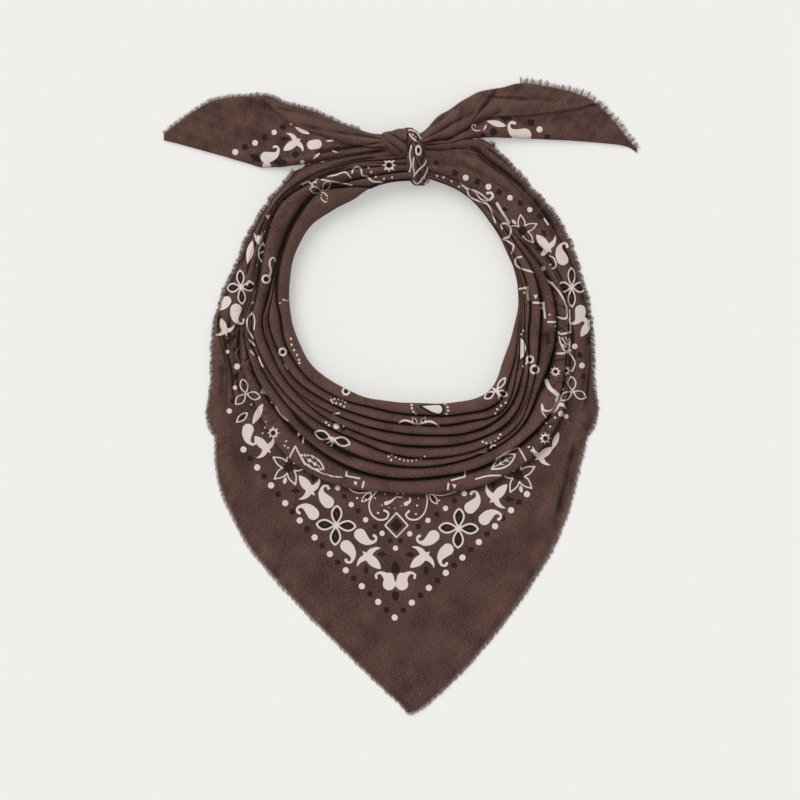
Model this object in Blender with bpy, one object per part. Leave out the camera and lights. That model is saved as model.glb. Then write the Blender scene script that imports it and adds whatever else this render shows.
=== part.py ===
"""A square bandana, folded on the diagonal, knotted at the top and laid flat on a surface.

The cloth lies on the plane z = 0 with its pointed bib towards -Y and its knot towards +Y. Every
solid is a loft through sections worked out from the tables below. The tables are in millimetres,
and angles are in degrees, counter-clockwise from +X round the middle of the neck opening.
"""
import math

import bmesh
import bpy
import numpy as np

MM = 0.001

# ---- sizes of the cloth, millimetres ------------------------------------------------------------
NECK_X = 3.1                # middle of the neck opening
NECK_Y = 65.0
SEAM_GAP = 0.3              # clearance between neighbouring pieces
WALL = 1.2                  # wall of a single layer of cloth
BACK_TOP = 1.0              # top of the back layer of the bib
BACK_SHIFT = 2.4            # how far the back layer lies towards +X from the front one
BACK_INSET = 0.5
BIB_TOP = 2.5               # top of the front layer where it lies flat
MIN_PLEAT = 0.7             # a pleat narrower than this has run out
PLEAT_RISE = 0.42           # height of a pleat for its width
PLEAT_RISE_MAX = 3.2
ARC_STEP = 5.0              # degrees between two sections round the neck
NECK_START = 90.0           # where the left side leaves the knot
NECK_END = 436.0            # where the right side comes back to it
BIB_START = 217.0           # left end of the bib
BIB_END = 322.0             # right end of the bib

# Radius of each fold line round the neck opening, from its rim out to where the pleats end, then
# the height of the cloth at the rim and at the last fold line. A pleat that runs out has no width.
NECK_FOLDS = (
    # angle   rim    f1     f2     f3     f4     f5     f6     f7     f8    h_rim  h_out
    (90.0,    69.4,  69.4,  74.4,  74.4,  74.4,  78.7,  78.7,  78.7,  81.2,  14.5,  15.0),
    (100.0,   68.8,  68.8,  73.8,  73.8,  73.8,  78.7,  78.7,  80.6,  81.8,  14.0,  14.5),
    (108.0,   68.1,  68.1,  74.4,  74.4,  74.4,  80.6,  80.6,  84.3,  85.0,  13.0,  13.5),
    (118.0,   66.0,  73.5,  76.9,  76.9,  76.9,  84.3,  84.3,  87.4,  88.2,  12.0,  12.5),
    (130.0,   67.8,  81.2,  82.5,  82.5,  82.5,  88.7,  88.7,  91.1,  92.2,  11.5,  11.0),
    (145.0,   71.3,  80.6,  81.8,  81.8,  81.8,  94.2,  94.2,  95.5,  96.7,  11.0,  10.0),
    (160.0,   72.2,  79.1,  80.3,  80.6,  80.6,  91.1,  91.8,  93.6,  94.4,  11.0,  9.5),
    (175.0,   71.6,  78.7,  80.3,  82.2,  82.2,  89.9,  90.5,  93.0,  94.0,  11.0,  9.0),
    (182.0,   71.6,  78.6,  81.8,  84.3,  84.3,  91.8,  92.4,  95.0,  96.5,  11.0,  9.0),
    (190.0,   71.8,  78.1,  85.3,  89.0,  89.0,  97.3,  99.2,  104.2, 105.6, 11.0,  8.5),
    (205.0,   72.5,  79.7,  86.2,  90.5,  90.5,  98.0,  101.0, 107.3, 108.5, 11.5,  7.0),
    (220.0,   72.5,  79.7,  85.6,  90.8,  90.8,  97.7,  103.0, 109.7, 111.0, 12.0,  5.5),
    (235.0,   70.1,  76.9,  82.2,  87.4,  91.1,  96.7,  105.4, 114.2, 116.0, 12.5,  4.4),
    (250.0,   68.8,  74.1,  80.3,  85.6,  91.1,  95.5,  105.4, 115.0, 124.0, 12.5,  3.8),
    (265.0,   67.5,  73.5,  80.3,  86.2,  93.0,  99.5,  106.6, 114.4, 122.5, 12.5,  3.6),
    (280.0,   69.4,  76.6,  82.5,  89.0,  96.1,  103.2, 107.9, 114.7, 124.0, 12.5,  3.6),
    (295.0,   74.4,  82.5,  88.0,  94.6,  100.4, 106.6, 109.7, 117.2, 127.7, 12.0,  3.8),
    (310.0,   80.0,  88.0,  94.2,  96.1,  101.7, 107.3, 109.7, 117.5, 121.5, 11.5,  4.6),
    (325.0,   73.8,  80.6,  84.0,  88.0,  92.4,  96.7,  101.4, 115.3, 116.6, 11.0,  6.0),
    (340.0,   70.7,  74.1,  75.6,  78.1,  80.6,  88.0,  98.0,  106.0, 107.3, 10.5,  7.5),
    (355.0,   70.4,  71.3,  72.5,  73.8,  76.9,  83.7,  93.0,  100.4, 102.0, 10.0,  8.5),
    (370.0,   69.1,  69.1,  70.1,  71.3,  73.2,  79.4,  85.6,  91.1,  92.4,  9.5,   9.0),
    (385.0,   67.9,  67.9,  67.9,  67.9,  69.4,  74.4,  77.5,  80.0,  81.2,  9.5,   10.0),
    (400.0,   68.5,  68.5,  68.5,  68.5,  68.5,  72.0,  76.0,  76.0,  77.0,  10.5,  11.0),
    (415.0,   70.7,  70.7,  70.7,  70.7,  70.7,  73.2,  75.0,  75.0,  75.8,  12.0,  13.0),
    (436.0,   71.9,  71.9,  71.9,  71.9,  71.9,  73.8,  75.0,  75.0,  75.8,  14.5,  15.0),
)

# The cloth gathered outside the pleats: two fold lines and the frayed edge, with the height of the
# cloth at each. Lean turns the outer end of a section towards the knot.
LEFT_SIDE = (
    # angle   a      b      edge   h_a   h_b   h_edge  lean
    (96.0,    82.0,  82.5,  83.0,  15.0, 15.0, 15.0,   0.0),
    (100.0,   84.3,  86.8,  88.6,  14.5, 14.5, 14.5,   0.0),
    (110.0,   86.8,  88.3,  89.5,  13.0, 13.0, 13.0,   0.0),
    (120.0,   90.8,  92.4,  93.7,  12.0, 11.5, 11.0,   0.0),
    (130.0,   96.0,  98.8,  100.4, 11.5, 9.0,  5.0,    0.0),
    (140.0,   98.2,  100.1, 101.4, 10.5, 7.0,  4.5,    0.0),
    (150.0,   98.6,  101.1, 102.3, 10.0, 6.0,  4.0,    0.0),
    (160.0,   97.5,  102.0, 103.8, 9.5,  5.5,  4.0,    0.0),
    (170.0,   98.0,  103.8, 106.0, 9.5,  5.5,  4.0,    0.0),
    (180.0,   103.0, 111.0, 112.8, 9.5,  5.5,  4.0,    0.0),
    (190.0,   111.0, 116.6, 120.3, 9.0,  6.5,  4.0,    0.0),
    (200.0,   112.5, 117.8, 127.1, 7.5,  6.0,  3.8,    0.0),
    (210.0,   116.6, 124.6, 135.8, 5.5,  4.8,  3.2,    0.0),
    (217.0,   121.5, 133.3, 145.7, 4.0,  3.6,  2.6,    0.0),
)
RIGHT_SIDE = (
    # angle   a      b      edge   h_a   h_b   h_edge  lean
    (322.0,   127.0, 135.2, 142.0, 4.4,  3.8,  2.6,    0.0),
    (330.0,   121.5, 128.3, 133.3, 6.0,  4.6,  3.0,    0.0),
    (337.0,   116.5, 123.0, 126.2, 7.2,  5.2,  3.4,    0.0),
    (345.0,   111.6, 117.8, 120.3, 8.2,  5.5,  3.6,    0.0),
    (355.0,   106.6, 111.6, 114.7, 8.6,  5.6,  3.8,    0.0),
    (365.0,   100.4, 105.4, 109.7, 9.0,  5.8,  3.8,    0.0),
    (375.0,   96.1,  101.7, 107.3, 9.5,  6.0,  4.0,    0.0),
    (385.0,   91.1,  98.6,  105.4, 10.0, 6.2,  4.0,    0.0),
    (400.0,   87.4,  96.1,  102.0, 11.0, 7.0,  4.5,    0.0),
    (415.0,   85.6,  95.5,  104.2, 12.5, 9.0,  6.0,    0.0),
    (424.0,   85.6,  96.1,  105.7, 13.5, 11.0, 9.0,    0.0),
    (428.5,   84.3,  93.0,  98.9,  14.0, 13.0, 12.0,   1.3),
    (433.0,   81.8,  88.7,  93.2,  14.5, 14.5, 14.0,   3.0),
    (436.0,   80.6,  86.8,  91.2,  15.0, 15.0, 15.0,   5.5),
)

# Frayed edge of the bib, from its left end round the point to its right end.
BIB_EDGE = (
    # x       y
    (-113.3,  -22.7),
    (-113.2,  -38.4),
    (-110.4,  -55.8),
    (-101.7,  -75.6),
    (-91.8,   -93.0),
    (-75.6,   -112.8),
    (-57.7,   -132.1),
    (-39.1,   -150.7),
    (-21.1,   -168.6),
    (0.0,     -188.5),
    (7.0,     -194.6),
    (21.1,    -184.8),
    (39.7,    -166.8),
    (55.8,    -148.2),
    (70.1,    -129.6),
    (82.5,    -111.0),
    (93.6,    -92.4),
    (101.1,   -74.4),
    (106.6,   -55.8),
    (110.4,   -38.4),
    (115.0,   -22.4),
)
BIB_TIP = 10                # row of the point

# Long soft folds of the bib: a ridge from one end to the other, its half width and its height.
BIB_FOLDS = (
    # x0      y0      x1      y1      half   height
    (112.0,   -10.0,  103.0,  -50.0,  6.0,   1.9),
    (103.0,   -50.0,  84.0,   -92.0,  7.0,   1.6),
    (-118.0,  -10.0,  -104.0, -50.0,  7.0,   1.2),
    (-90.0,   -40.0,  -62.0,  -92.0,  10.0,  0.8),
    (-30.0,   -120.0, 10.0,   -160.0, 14.0,  0.6),
    (40.0,    -98.0,  62.0,   -130.0, 12.0,  0.7),
)

# The two tails, from the knot out to the tip: the lower edge, the line where the cloth is folded
# over, the frayed upper edge, and the height of the heap.
LEFT_TAIL = (
    # x       low     fold    high    height
    (-12.7,   153.3,  154.1,  163.5,  17.0),
    (-17.4,   152.5,  154.1,  164.0,  16.5),
    (-24.8,   151.0,  155.6,  166.2,  15.5),
    (-34.1,   149.1,  156.9,  169.0,  14.0),
    (-43.4,   147.6,  158.7,  173.6,  12.8),
    (-52.7,   146.0,  160.9,  177.6,  11.2),
    (-62.0,   144.5,  163.7,  180.4,  9.4),
    (-71.3,   143.5,  167.4,  182.9,  7.4),
    (-79.4,   142.9,  176.1,  186.6,  5.8),
    (-85.6,   142.9,  185.0,  187.6,  4.8),
    (-93.0,   145.1,  187.2,  187.2,  4.2),
    (-105.4,  148.8,  186.6,  186.6,  3.6),
    (-117.8,  152.2,  183.5,  183.5,  3.2),
    (-130.2,  155.6,  176.1,  176.1,  2.8),
    (-139.5,  158.1,  169.0,  169.0,  2.4),
    (-146.3,  159.7,  163.6,  163.6,  1.8),
)
RIGHT_TAIL = (
    # x       low     fold    high    height
    (15.8,    156.6,  157.2,  166.0,  17.0),
    (21.7,    156.4,  159.3,  173.0,  16.0),
    (31.0,    157.3,  161.2,  179.2,  14.5),
    (40.3,    159.8,  166.2,  185.4,  13.0),
    (49.6,    161.0,  172.4,  189.7,  11.0),
    (62.0,    161.4,  173.6,  192.5,  8.6),
    (74.4,    160.8,  174.2,  195.3,  6.6),
    (89.9,    160.2,  175.8,  193.4,  5.2),
    (108.5,   159.3,  178.6,  189.1,  4.2),
    (122.0,   158.3,  181.0,  182.4,  3.6),
    (130.2,   157.5,  174.5,  174.5,  3.2),
    (137.6,   156.5,  165.2,  165.2,  2.6),
    (143.8,   155.1,  158.4,  158.4,  1.8),
)
FLAP_STEP = 1.6             # how far the folded-over cloth stands above the rest of the tail

# The knot: the smooth lobe in sections across X, the wrapping band in sections across Y.
KNOT_LOBE = (
    # x       low     high    height
    (-12.0,   154.2,  163.4,  12.0),
    (-10.6,   152.5,  164.2,  15.5),
    (-8.0,    150.9,  164.8,  18.5),
    (-5.0,    149.5,  165.2,  20.5),
    (-1.5,    148.3,  166.4,  21.5),
    (2.8,     147.4,  166.6,  21.0),
)
KNOT_BAND = (
    # y       left    right   height
    (131.9,   9.0,    15.5,   7.0),
    (133.4,   7.2,    17.8,   11.5),
    (136.5,   4.8,    18.4,   17.0),
    (140.4,   3.9,    18.4,   20.5),
    (144.5,   3.6,    17.6,   22.5),
    (150.0,   3.4,    16.0,   23.8),
    (156.0,   3.4,    14.8,   23.8),
    (161.2,   3.4,    13.4,   22.0),
    (164.6,   3.4,    10.8,   17.5),
    (166.8,   3.8,    7.6,    11.0),
)

# Frayed edges: strips of short locks along the free edges.
FRINGE_GAP = 0.3
FRINGE_STRIP = 0.9          # width of the backing strip
FRINGE_HALF = 0.4           # half the height of the strip and of a lock's root
LOCK_FILL = 0.62            # share of the pitch that a lock's root takes
TIP_CLEAR = 2.6             # a strip stops this far from the bib's point and from its ends
LOCK_TIP_Z = 0.35           # height of a lock's end above the surface
LOCK_TIP_OVER = 1.55        # the same where the back layer lies under it


# ---- tables ------------------------------------------------------------------------------------
def smooth_row(table, key):
    """Every column of a table at one value of its first column, by a cubic through its rows."""
    rows = np.array(table, dtype=float)
    keys = rows[:, 0]
    if len(rows) < 3:
        raise ValueError("a table needs three rows")
    slopes = np.gradient(rows, keys, axis=0)
    i = int(np.clip(np.searchsorted(keys, key) - 1, 0, len(keys) - 2))
    span = keys[i + 1] - keys[i]
    t = (key - keys[i]) / span
    low = rows[i] * (1 + 2 * t) * (1 - t) ** 2 + rows[i + 1] * t * t * (3 - 2 * t)
    return low + span * (slopes[i] * t * (1 - t) ** 2 - slopes[i + 1] * t * t * (1 - t))


def angles(start, end):
    """Section angles from start to end; neighbouring pieces share those that they have in common."""
    first = math.floor(start / ARC_STEP) + 1
    last = math.ceil(end / ARC_STEP) - 1
    inner = [k * ARC_STEP for k in range(first, last + 1)]
    shared = [a for a in (BIB_START, BIB_END) if start < a < end]
    return sorted({start, end, *inner, *shared})


def polar(angle, radius, height):
    """A point by its angle and radius round the neck opening, in millimetres."""
    a = math.radians(angle)
    return (NECK_X + radius * math.cos(a), NECK_Y + radius * math.sin(a), height)


# ---- sections ----------------------------------------------------------------------------------
def fold_lines(angle):
    """Radii of the rim and the eight fold lines, with pleats that have run out closed up."""
    row = smooth_row(NECK_FOLDS, angle)
    lines = np.maximum.accumulate(row[1:10])
    for k in range(1, len(lines)):
        if lines[k] - lines[k - 1] < MIN_PLEAT:
            lines[k] = lines[k - 1]
    outer = max(row[9], lines[0] + 2 * MIN_PLEAT)
    lines[lines > outer - MIN_PLEAT] = outer
    lines[-1] = outer
    return lines, row[10], row[11]


def pleat(start, end, low):
    """The points of one pleat, which rises away from the neck to a lip, as radii and heights."""
    width = end - start
    rise = min(PLEAT_RISE * width, PLEAT_RISE_MAX)
    shape = ((0.0, 0.0), (0.30, 0.62), (0.62, 1.0), (0.90, 0.86))
    return [(start + width * t, low(start + width * t) + rise * h) for t, h in shape]


def neck_section(angle):
    """The pleated roll round the neck opening: a rounded rim, eight pleats and a step down."""
    lines, h_rim, h_out = fold_lines(angle)
    rim = lines[0]
    outer = lines[-1] - SEAM_GAP / 2
    span = outer - rim

    def low(radius):
        s = min(max((radius - rim) / span, 0.0), 1.0)
        return h_rim + (h_out - h_rim) * s ** 1.15

    profile = [(rim + 0.8, 0.0), (rim, 0.34 * h_rim), (rim + 0.35, 0.72 * h_rim)]
    for start, end in zip(lines[:-1], lines[1:]):
        shift = 0.9 if start == rim and end > rim else 0.0
        profile += pleat(start + shift, end, low)
    top = profile[-1][1]
    profile += [(outer, top * 0.8), (outer, 0.0)]
    return [polar(angle, min(r, outer), z) for r, z in profile]


def side_section(table, angle):
    """The gathered cloth outside the pleats: a rounded band, a fold line and the hem."""
    lines, _, h_out = fold_lines(angle)
    _, a, b, edge, h_a, h_b, h_edge, lean = smooth_row(table, angle)
    inner = lines[-1] + SEAM_GAP / 2
    step = (a - inner) * 0.5
    hem = (edge - b) * 0.4
    profile = [
        (inner, 0.0),
        (inner, h_out * 0.7),
        (inner + step * 0.5, h_out * 0.92),
        (inner + step, (h_out + h_a) * 0.5 + 0.3),
        (a, h_a),
        (a + (b - a) * 0.5, h_a * 0.45 + h_b * 0.55 + 0.5),
        (b - (b - a) * 0.12, h_b + 0.25),
        (b, h_b - 1.1),
        (b + hem, h_b * 0.5 + h_edge * 0.5),
        (edge - 0.3, h_edge),
        (edge, h_edge * 0.55),
        (edge, 0.0),
    ]
    turn = lean / max(edge - inner, 1.0)
    return [polar(angle + turn * (r - inner), r, z) for r, z in profile]


def bib_edge_radius(angle, layer):
    """Distance from the neck middle to the edge of one layer of the bib along a ray."""
    a = math.radians(angle)
    ray = np.array((math.cos(a), math.sin(a)))
    start = np.array((NECK_X, NECK_Y))
    points = np.array(BIB_EDGE)
    best = 0.0
    for p, q in zip(points[:-1], points[1:]):
        along = q - p
        cross = ray[0] * along[1] - ray[1] * along[0]
        to_p = p - start
        distance = (to_p[0] * along[1] - to_p[1] * along[0]) / cross
        share = (to_p[0] * ray[1] - to_p[1] * ray[0]) / cross
        if -0.02 <= share <= 1.02 and distance > 0:
            best = max(best, distance)
    if layer == "back":
        best += BACK_SHIFT * math.cos(a) - BACK_INSET
    return best


def bib_rise(x, y):
    """Height that the long soft folds add to the bib."""
    rise = 0.0
    for x0, y0, x1, y1, half, height in BIB_FOLDS:
        along = np.array((x1 - x0, y1 - y0))
        length = np.linalg.norm(along)
        along /= length
        t = (x - x0) * along[0] + (y - y0) * along[1]
        across = -(x - x0) * along[1] + (y - y0) * along[0]
        beyond = max(-t, t - length, 0.0)
        rise += height * math.exp(-(across * across + beyond * beyond) / half ** 2)
    return rise


def bib_section(angle, layer):
    """One layer of the bib from under the pleats to its edge: the back one flat, the front waved."""
    lines, _, _ = fold_lines(angle)
    inner = lines[-1] + SEAM_GAP / 2
    edge = bib_edge_radius(angle, layer)
    if layer == "back":
        radii = [inner, edge]
        tops = [BACK_TOP, BACK_TOP]
        bottoms = [0.0, 0.0]
    else:
        shares = [1 - (1 - j / 9) ** 1.7 for j in range(10)]
        radii = [inner + (edge - inner) * s for s in shares]
        spots = [polar(angle, r, 0.0) for r in radii]
        tops = [BIB_TOP + bib_rise(x, y) for x, y, _ in spots]
        bottoms = [top - WALL for top in tops]
    upper = [polar(angle, r, z) for r, z in zip(radii, tops)]
    lower = [polar(angle, r, z) for r, z in zip(radii, bottoms)]
    return upper + lower[::-1]


def tail_section(row, part):
    """A tail in section: the cloth below the fold line, or the flap folded over above it."""
    x, low, fold, high, height = row
    half_gap = SEAM_GAP / 2
    if part == "flap":
        start, end = fold + half_gap, high
        crest = height + FLAP_STEP
        shape = ((0.0, 0.72), (0.06, 0.97), (0.3, 1.0), (0.6, 0.8), (0.9, 0.48), (1.0, 0.3))
    elif fold < high:
        start, end = low, fold - half_gap
        crest = height
        shape = ((0.0, 0.5), (0.06, 0.86), (0.3, 1.0), (0.6, 0.94), (0.9, 0.9), (1.0, 0.88))
    else:
        start, end = low, high
        crest = height
        shape = ((0.0, 0.5), (0.06, 0.86), (0.3, 1.0), (0.6, 0.86), (0.9, 0.7), (1.0, 0.5))
    width = end - start
    profile = [(start + width * t, crest * h) for t, h in shape]
    return [(x, start, 0.0)] + [(x, y, z) for y, z in profile] + [(x, end, 0.0)]


def mound_section(low, high, height, creases):
    """A rounded heap on the surface, with shallow creases along it, as positions and heights."""
    steps = 4 * creases + 6
    points = []
    for k in range(steps + 1):
        t = k / steps
        z = height * math.sin(math.pi * (0.08 + 0.84 * t)) ** 0.7
        if creases and 0.12 < t < 0.88:
            z -= 0.9 * abs(math.cos(math.pi * t * (creases + 1))) ** 3
        points.append((low + (high - low) * t, z))
    return [(low, 0.0)] + points + [(high, 0.0)]


# ---- building ----------------------------------------------------------------------------------
def clear_scene():
    for item in list(bpy.data.objects):
        bpy.data.objects.remove(item, do_unlink=True)


def make_material(name, colour, roughness):
    material = bpy.data.materials.new(name)
    material.use_nodes = True
    shader = material.node_tree.nodes["Principled BSDF"]
    shader.inputs["Base Color"].default_value = (*colour, 1.0)
    shader.inputs["Roughness"].default_value = roughness
    shader.inputs["Metallic"].default_value = 0.0
    material.diffuse_color = (*colour, 1.0)
    return material


def add_mesh(name, shape, material, collection):
    """Put a closed bmesh, in millimetres, into the collection as an object in metres."""
    bmesh.ops.scale(shape, vec=(MM, MM, MM), verts=shape.verts)
    bmesh.ops.remove_doubles(shape, verts=shape.verts, dist=0.00001)
    bmesh.ops.dissolve_degenerate(shape, edges=shape.edges, dist=0.00001)
    bmesh.ops.recalc_face_normals(shape, faces=shape.faces)
    mesh = bpy.data.meshes.new(name)
    shape.to_mesh(mesh)
    shape.free()
    mesh.materials.append(material)
    mesh.shade_smooth()
    mesh.set_sharp_from_angle(angle=math.radians(50))
    piece = bpy.data.objects.new(name, mesh)
    collection.objects.link(piece)
    return piece


def loft(name, sections, material, collection):
    """A closed body through sections that have the same number of points."""
    shape = bmesh.new()
    rings = [[shape.verts.new(point) for point in section] for section in sections]
    count = len(rings[0])
    for ring, following in zip(rings[:-1], rings[1:]):
        for k in range(count):
            after = (k + 1) % count
            shape.faces.new((ring[k], ring[after], following[after], following[k]))
    shape.faces.new(rings[0][::-1])
    shape.faces.new(rings[-1])
    return add_mesh(name, shape, material, collection)


def fringe(name, edge, z, tip_z, length, pitch, sweep, material, collection):
    """Short locks on a narrow strip along an edge, which has the cloth on its left.

    Sweep is how far the last lock at the edge's start and end leans along the edge.
    """
    line = np.array(edge, dtype=float)
    run = np.concatenate(([0.0], np.cumsum(np.linalg.norm(np.diff(line, axis=0), axis=1))))
    locks = int(run[-1] / pitch)
    pitch = run[-1] / locks
    at = []
    for k in range(locks):
        at += [(k + 0.5 - LOCK_FILL / 2) * pitch, (k + 0.5 + LOCK_FILL / 2) * pitch]
    places = np.stack([np.interp(at, run, line[:, axis]) for axis in (0, 1)], axis=1)
    ahead = np.gradient(places, axis=0)
    ahead /= np.linalg.norm(ahead, axis=1)[:, None]
    away = np.stack((ahead[:, 1], -ahead[:, 0]), axis=1)
    inner = places + away * FRINGE_GAP
    outer = places + away * (FRINGE_GAP + FRINGE_STRIP)

    shape = bmesh.new()
    root = [shape.verts.new((x, y, z)) for x, y in inner]
    upper = [shape.verts.new((x, y, z + FRINGE_HALF)) for x, y in outer]
    lower = [shape.verts.new((x, y, z - FRINGE_HALF)) for x, y in outer]
    for i in range(len(at) - 1):
        j = i + 1
        shape.faces.new((root[i], upper[i], upper[j], root[j]))
        shape.faces.new((root[j], lower[j], lower[i], root[i]))
        if i % 2:
            shape.faces.new((upper[i], lower[i], lower[j], upper[j]))
            continue
        lock = i // 2
        reach = length * (1.0 + 0.22 * math.sin(2.4 * lock) + 0.12 * math.sin(7.1 * lock))
        slant = 0.9 * math.sin(1.7 * lock + 0.6)
        slant += sweep[0] * math.exp(-lock / 1.6) + sweep[1] * math.exp((lock + 1 - locks) / 1.6)
        tip = (outer[i] + outer[j]) / 2 + away[i] * reach + ahead[i] * slant
        end = shape.verts.new((tip[0], tip[1], tip_z))
        corners = (upper[i], lower[i], lower[j], upper[j])
        for k in range(4):
            shape.faces.new((corners[k], corners[(k + 1) % 4], end))
    shape.faces.new((root[0], lower[0], upper[0]))
    shape.faces.new((root[-1], upper[-1], lower[-1]))
    return add_mesh(name, shape, material, collection)


def edge_of(table, start, end):
    """The frayed edge of a gathered side between two angles, in plan."""
    line = []
    for angle in angles(start, end):
        row = smooth_row(table, angle)
        line.append(polar(angle + row[7], row[3], 0.0)[:2])
    return line


def bib_line(start, end, layer):
    """The edge of one layer of the bib between two angles, in plan, stopping short of its point."""
    inside = [a for a in bib_angles() if start <= a <= end]
    line = np.array([polar(a, bib_edge_radius(a, layer), 0.0)[:2] for a in inside])
    for end_row, next_row in ((0, 1), (-1, -2)):
        back = line[next_row] - line[end_row]
        line[end_row] += back * TIP_CLEAR / np.linalg.norm(back)
    return line


def bib_angles():
    """Section angles of the bib, with one through its point."""
    x, y = BIB_EDGE[BIB_TIP]
    tip = math.degrees(math.atan2(y - NECK_Y, x - NECK_X)) % 360
    regular = [a for a in angles(BIB_START, BIB_END) if abs(a - tip) > ARC_STEP * 0.3]
    return sorted(regular + [tip])


# ---- pieces ------------------------------------------------------------------------------------
def build_neck(cloth, collection):
    sections = [neck_section(a) for a in angles(NECK_START, NECK_END)]
    loft("neck_folds", sections, cloth, collection)


def build_sides(cloth, collection):
    left = [side_section(LEFT_SIDE, a) for a in angles(LEFT_SIDE[0][0], BIB_START)]
    right = [side_section(RIGHT_SIDE, a) for a in angles(BIB_END, NECK_END)]
    loft("left_gather", left, cloth, collection)
    loft("right_gather", right, cloth, collection)


def build_bib(cloth, collection):
    inside = bib_angles()
    loft("bib_front", [bib_section(a, "front") for a in inside], cloth, collection)
    loft("bib_back", [bib_section(a, "back") for a in inside], cloth, collection)


def build_tails(cloth, collection):
    for side, table in (("left", LEFT_TAIL), ("right", RIGHT_TAIL)):
        folded = [row for row in table if row[3] - row[2] > 1.0]
        loft(f"{side}_tail", [tail_section(row, "body") for row in table[1:]], cloth, collection)
        loft(f"{side}_flap", [tail_section(row, "flap") for row in folded], cloth, collection)


def build_knot(cloth, collection):
    lobe = []
    for x, low, high, height in KNOT_LOBE:
        lobe.append([(x, y, z) for y, z in mound_section(low, high, height, 0)])
    band = []
    for y, left, right, height in KNOT_BAND:
        band.append([(x, y, z) for x, z in mound_section(left, right, height, 3)])
    loft("knot_lobe", lobe, cloth, collection)
    loft("knot_band", band, cloth, collection)


def build_fringes(thread, collection):
    x, y = BIB_EDGE[BIB_TIP]
    tip = math.degrees(math.atan2(y - NECK_Y, x - NECK_X)) % 360
    front_z = BIB_TOP - WALL / 2
    back_z = 0.6
    side_z = 1.4
    tail_z = 1.0
    left_tail = [(row[0], row[3]) for row in LEFT_TAIL[1:]]
    right_tail = [(row[0], row[3]) for row in RIGHT_TAIL[4:]][::-1]
    plain = (0.0, 0.0)
    # name, edge with the cloth on its left, height, height of the ends, lock length, pitch, sweep
    strips = (
        ("bib_left", bib_line(BIB_START, tip, "front"), front_z, LOCK_TIP_Z, 2.9, 4.4, (0.0, 4.5)),
        ("bib_right", bib_line(tip, BIB_END, "front"), front_z, LOCK_TIP_OVER, 2.9, 4.4, (-4.5, 0.0)),
        ("bib_back", bib_line(tip, BIB_END, "back"), back_z, LOCK_TIP_Z, 2.4, 5.6, (-3.0, 0.0)),
        ("left_side", edge_of(LEFT_SIDE, 133.0, 216.0), side_z, LOCK_TIP_Z, 2.2, 4.6, plain),
        ("right_side", edge_of(RIGHT_SIDE, 323.0, 420.0), side_z, LOCK_TIP_Z, 2.2, 4.6, plain),
        ("left_tail", left_tail, tail_z, LOCK_TIP_Z, 2.4, 4.4, plain),
        ("right_tail", right_tail, tail_z, LOCK_TIP_Z, 3.4, 4.4, plain),
    )
    for name, edge, z, tip_z, length, pitch, sweep in strips:
        fringe(f"fringe_{name}", edge, z, tip_z, length, pitch, sweep, thread, collection)


def main():
    clear_scene()
    collection = bpy.data.collections.new("knotted_bandana")
    bpy.context.scene.collection.children.link(collection)
    cloth = make_material("printed_cotton", (0.105, 0.060, 0.050), 0.86)
    thread = make_material("frayed_thread", (0.150, 0.100, 0.085), 0.90)
    build_neck(cloth, collection)
    build_sides(cloth, collection)
    build_bib(cloth, collection)
    build_tails(cloth, collection)
    build_knot(cloth, collection)
    build_fringes(thread, collection)


main()
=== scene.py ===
"""The looks of the knotted square bandana: its cloth, print, frayed threads, light and camera.

Tables are in millimetres, and angles in degrees, counter-clockwise from +X round the middle of
the neck opening. The camera looks straight down on the cloth.
"""

import math

import bpy
import numpy as np
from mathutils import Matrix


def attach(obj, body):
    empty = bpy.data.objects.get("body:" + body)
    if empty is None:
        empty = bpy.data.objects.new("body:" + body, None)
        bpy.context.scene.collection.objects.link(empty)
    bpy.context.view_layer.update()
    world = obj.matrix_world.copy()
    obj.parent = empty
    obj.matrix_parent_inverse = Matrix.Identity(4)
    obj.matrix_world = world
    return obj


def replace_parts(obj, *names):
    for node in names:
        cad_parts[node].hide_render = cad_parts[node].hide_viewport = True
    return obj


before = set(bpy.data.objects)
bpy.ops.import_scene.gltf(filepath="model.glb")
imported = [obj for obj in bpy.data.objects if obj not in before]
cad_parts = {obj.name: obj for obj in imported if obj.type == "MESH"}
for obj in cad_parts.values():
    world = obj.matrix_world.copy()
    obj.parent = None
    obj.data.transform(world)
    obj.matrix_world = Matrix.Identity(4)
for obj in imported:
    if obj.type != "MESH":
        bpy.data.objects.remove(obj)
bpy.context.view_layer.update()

MM = 0.001
NECK = np.array((3.1, 65.0))        # middle of the neck opening
NECK_START, NECK_MIDDLE, NECK_END = 86.0, 265.0, 444.0
BIB_START, BIB_END = 217.0, 322.0
BIB_RAYS, LEFT_RAYS, RIGHT_RAYS = 421, 364, 326     # sections along the bib and the gathered sides
SIDE_ROWS = 150                     # points across them
RIM_ROWS = 3                        # points that turn the cloth down at its edge
NECK_STEP, BACK_STEP, TAIL_STEP = 0.3, 1.0, 0.7     # between sections, degrees and millimetres
PLEAT_RISE, PLEAT_RISE_MAX = 0.46, 3.8      # height of a pleat for its width, and at most
BIB_TOP = 2.5                       # height of the bib's front layer
PRINTED_SHARE, PRINTED_ROWS = 0.66, 118     # the bib's printed part, and its share of the points
SHELL_FOOT = 0.4                    # height at which the knot's shells end
# The reaches below measure the depth of valleys for the shade painted into the cloth's colour.
PAINTED_SHADE_REACHES = (2, 4, 8, 13)      # how many points away a valley's sides are looked for
FAR = 1e9

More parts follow.
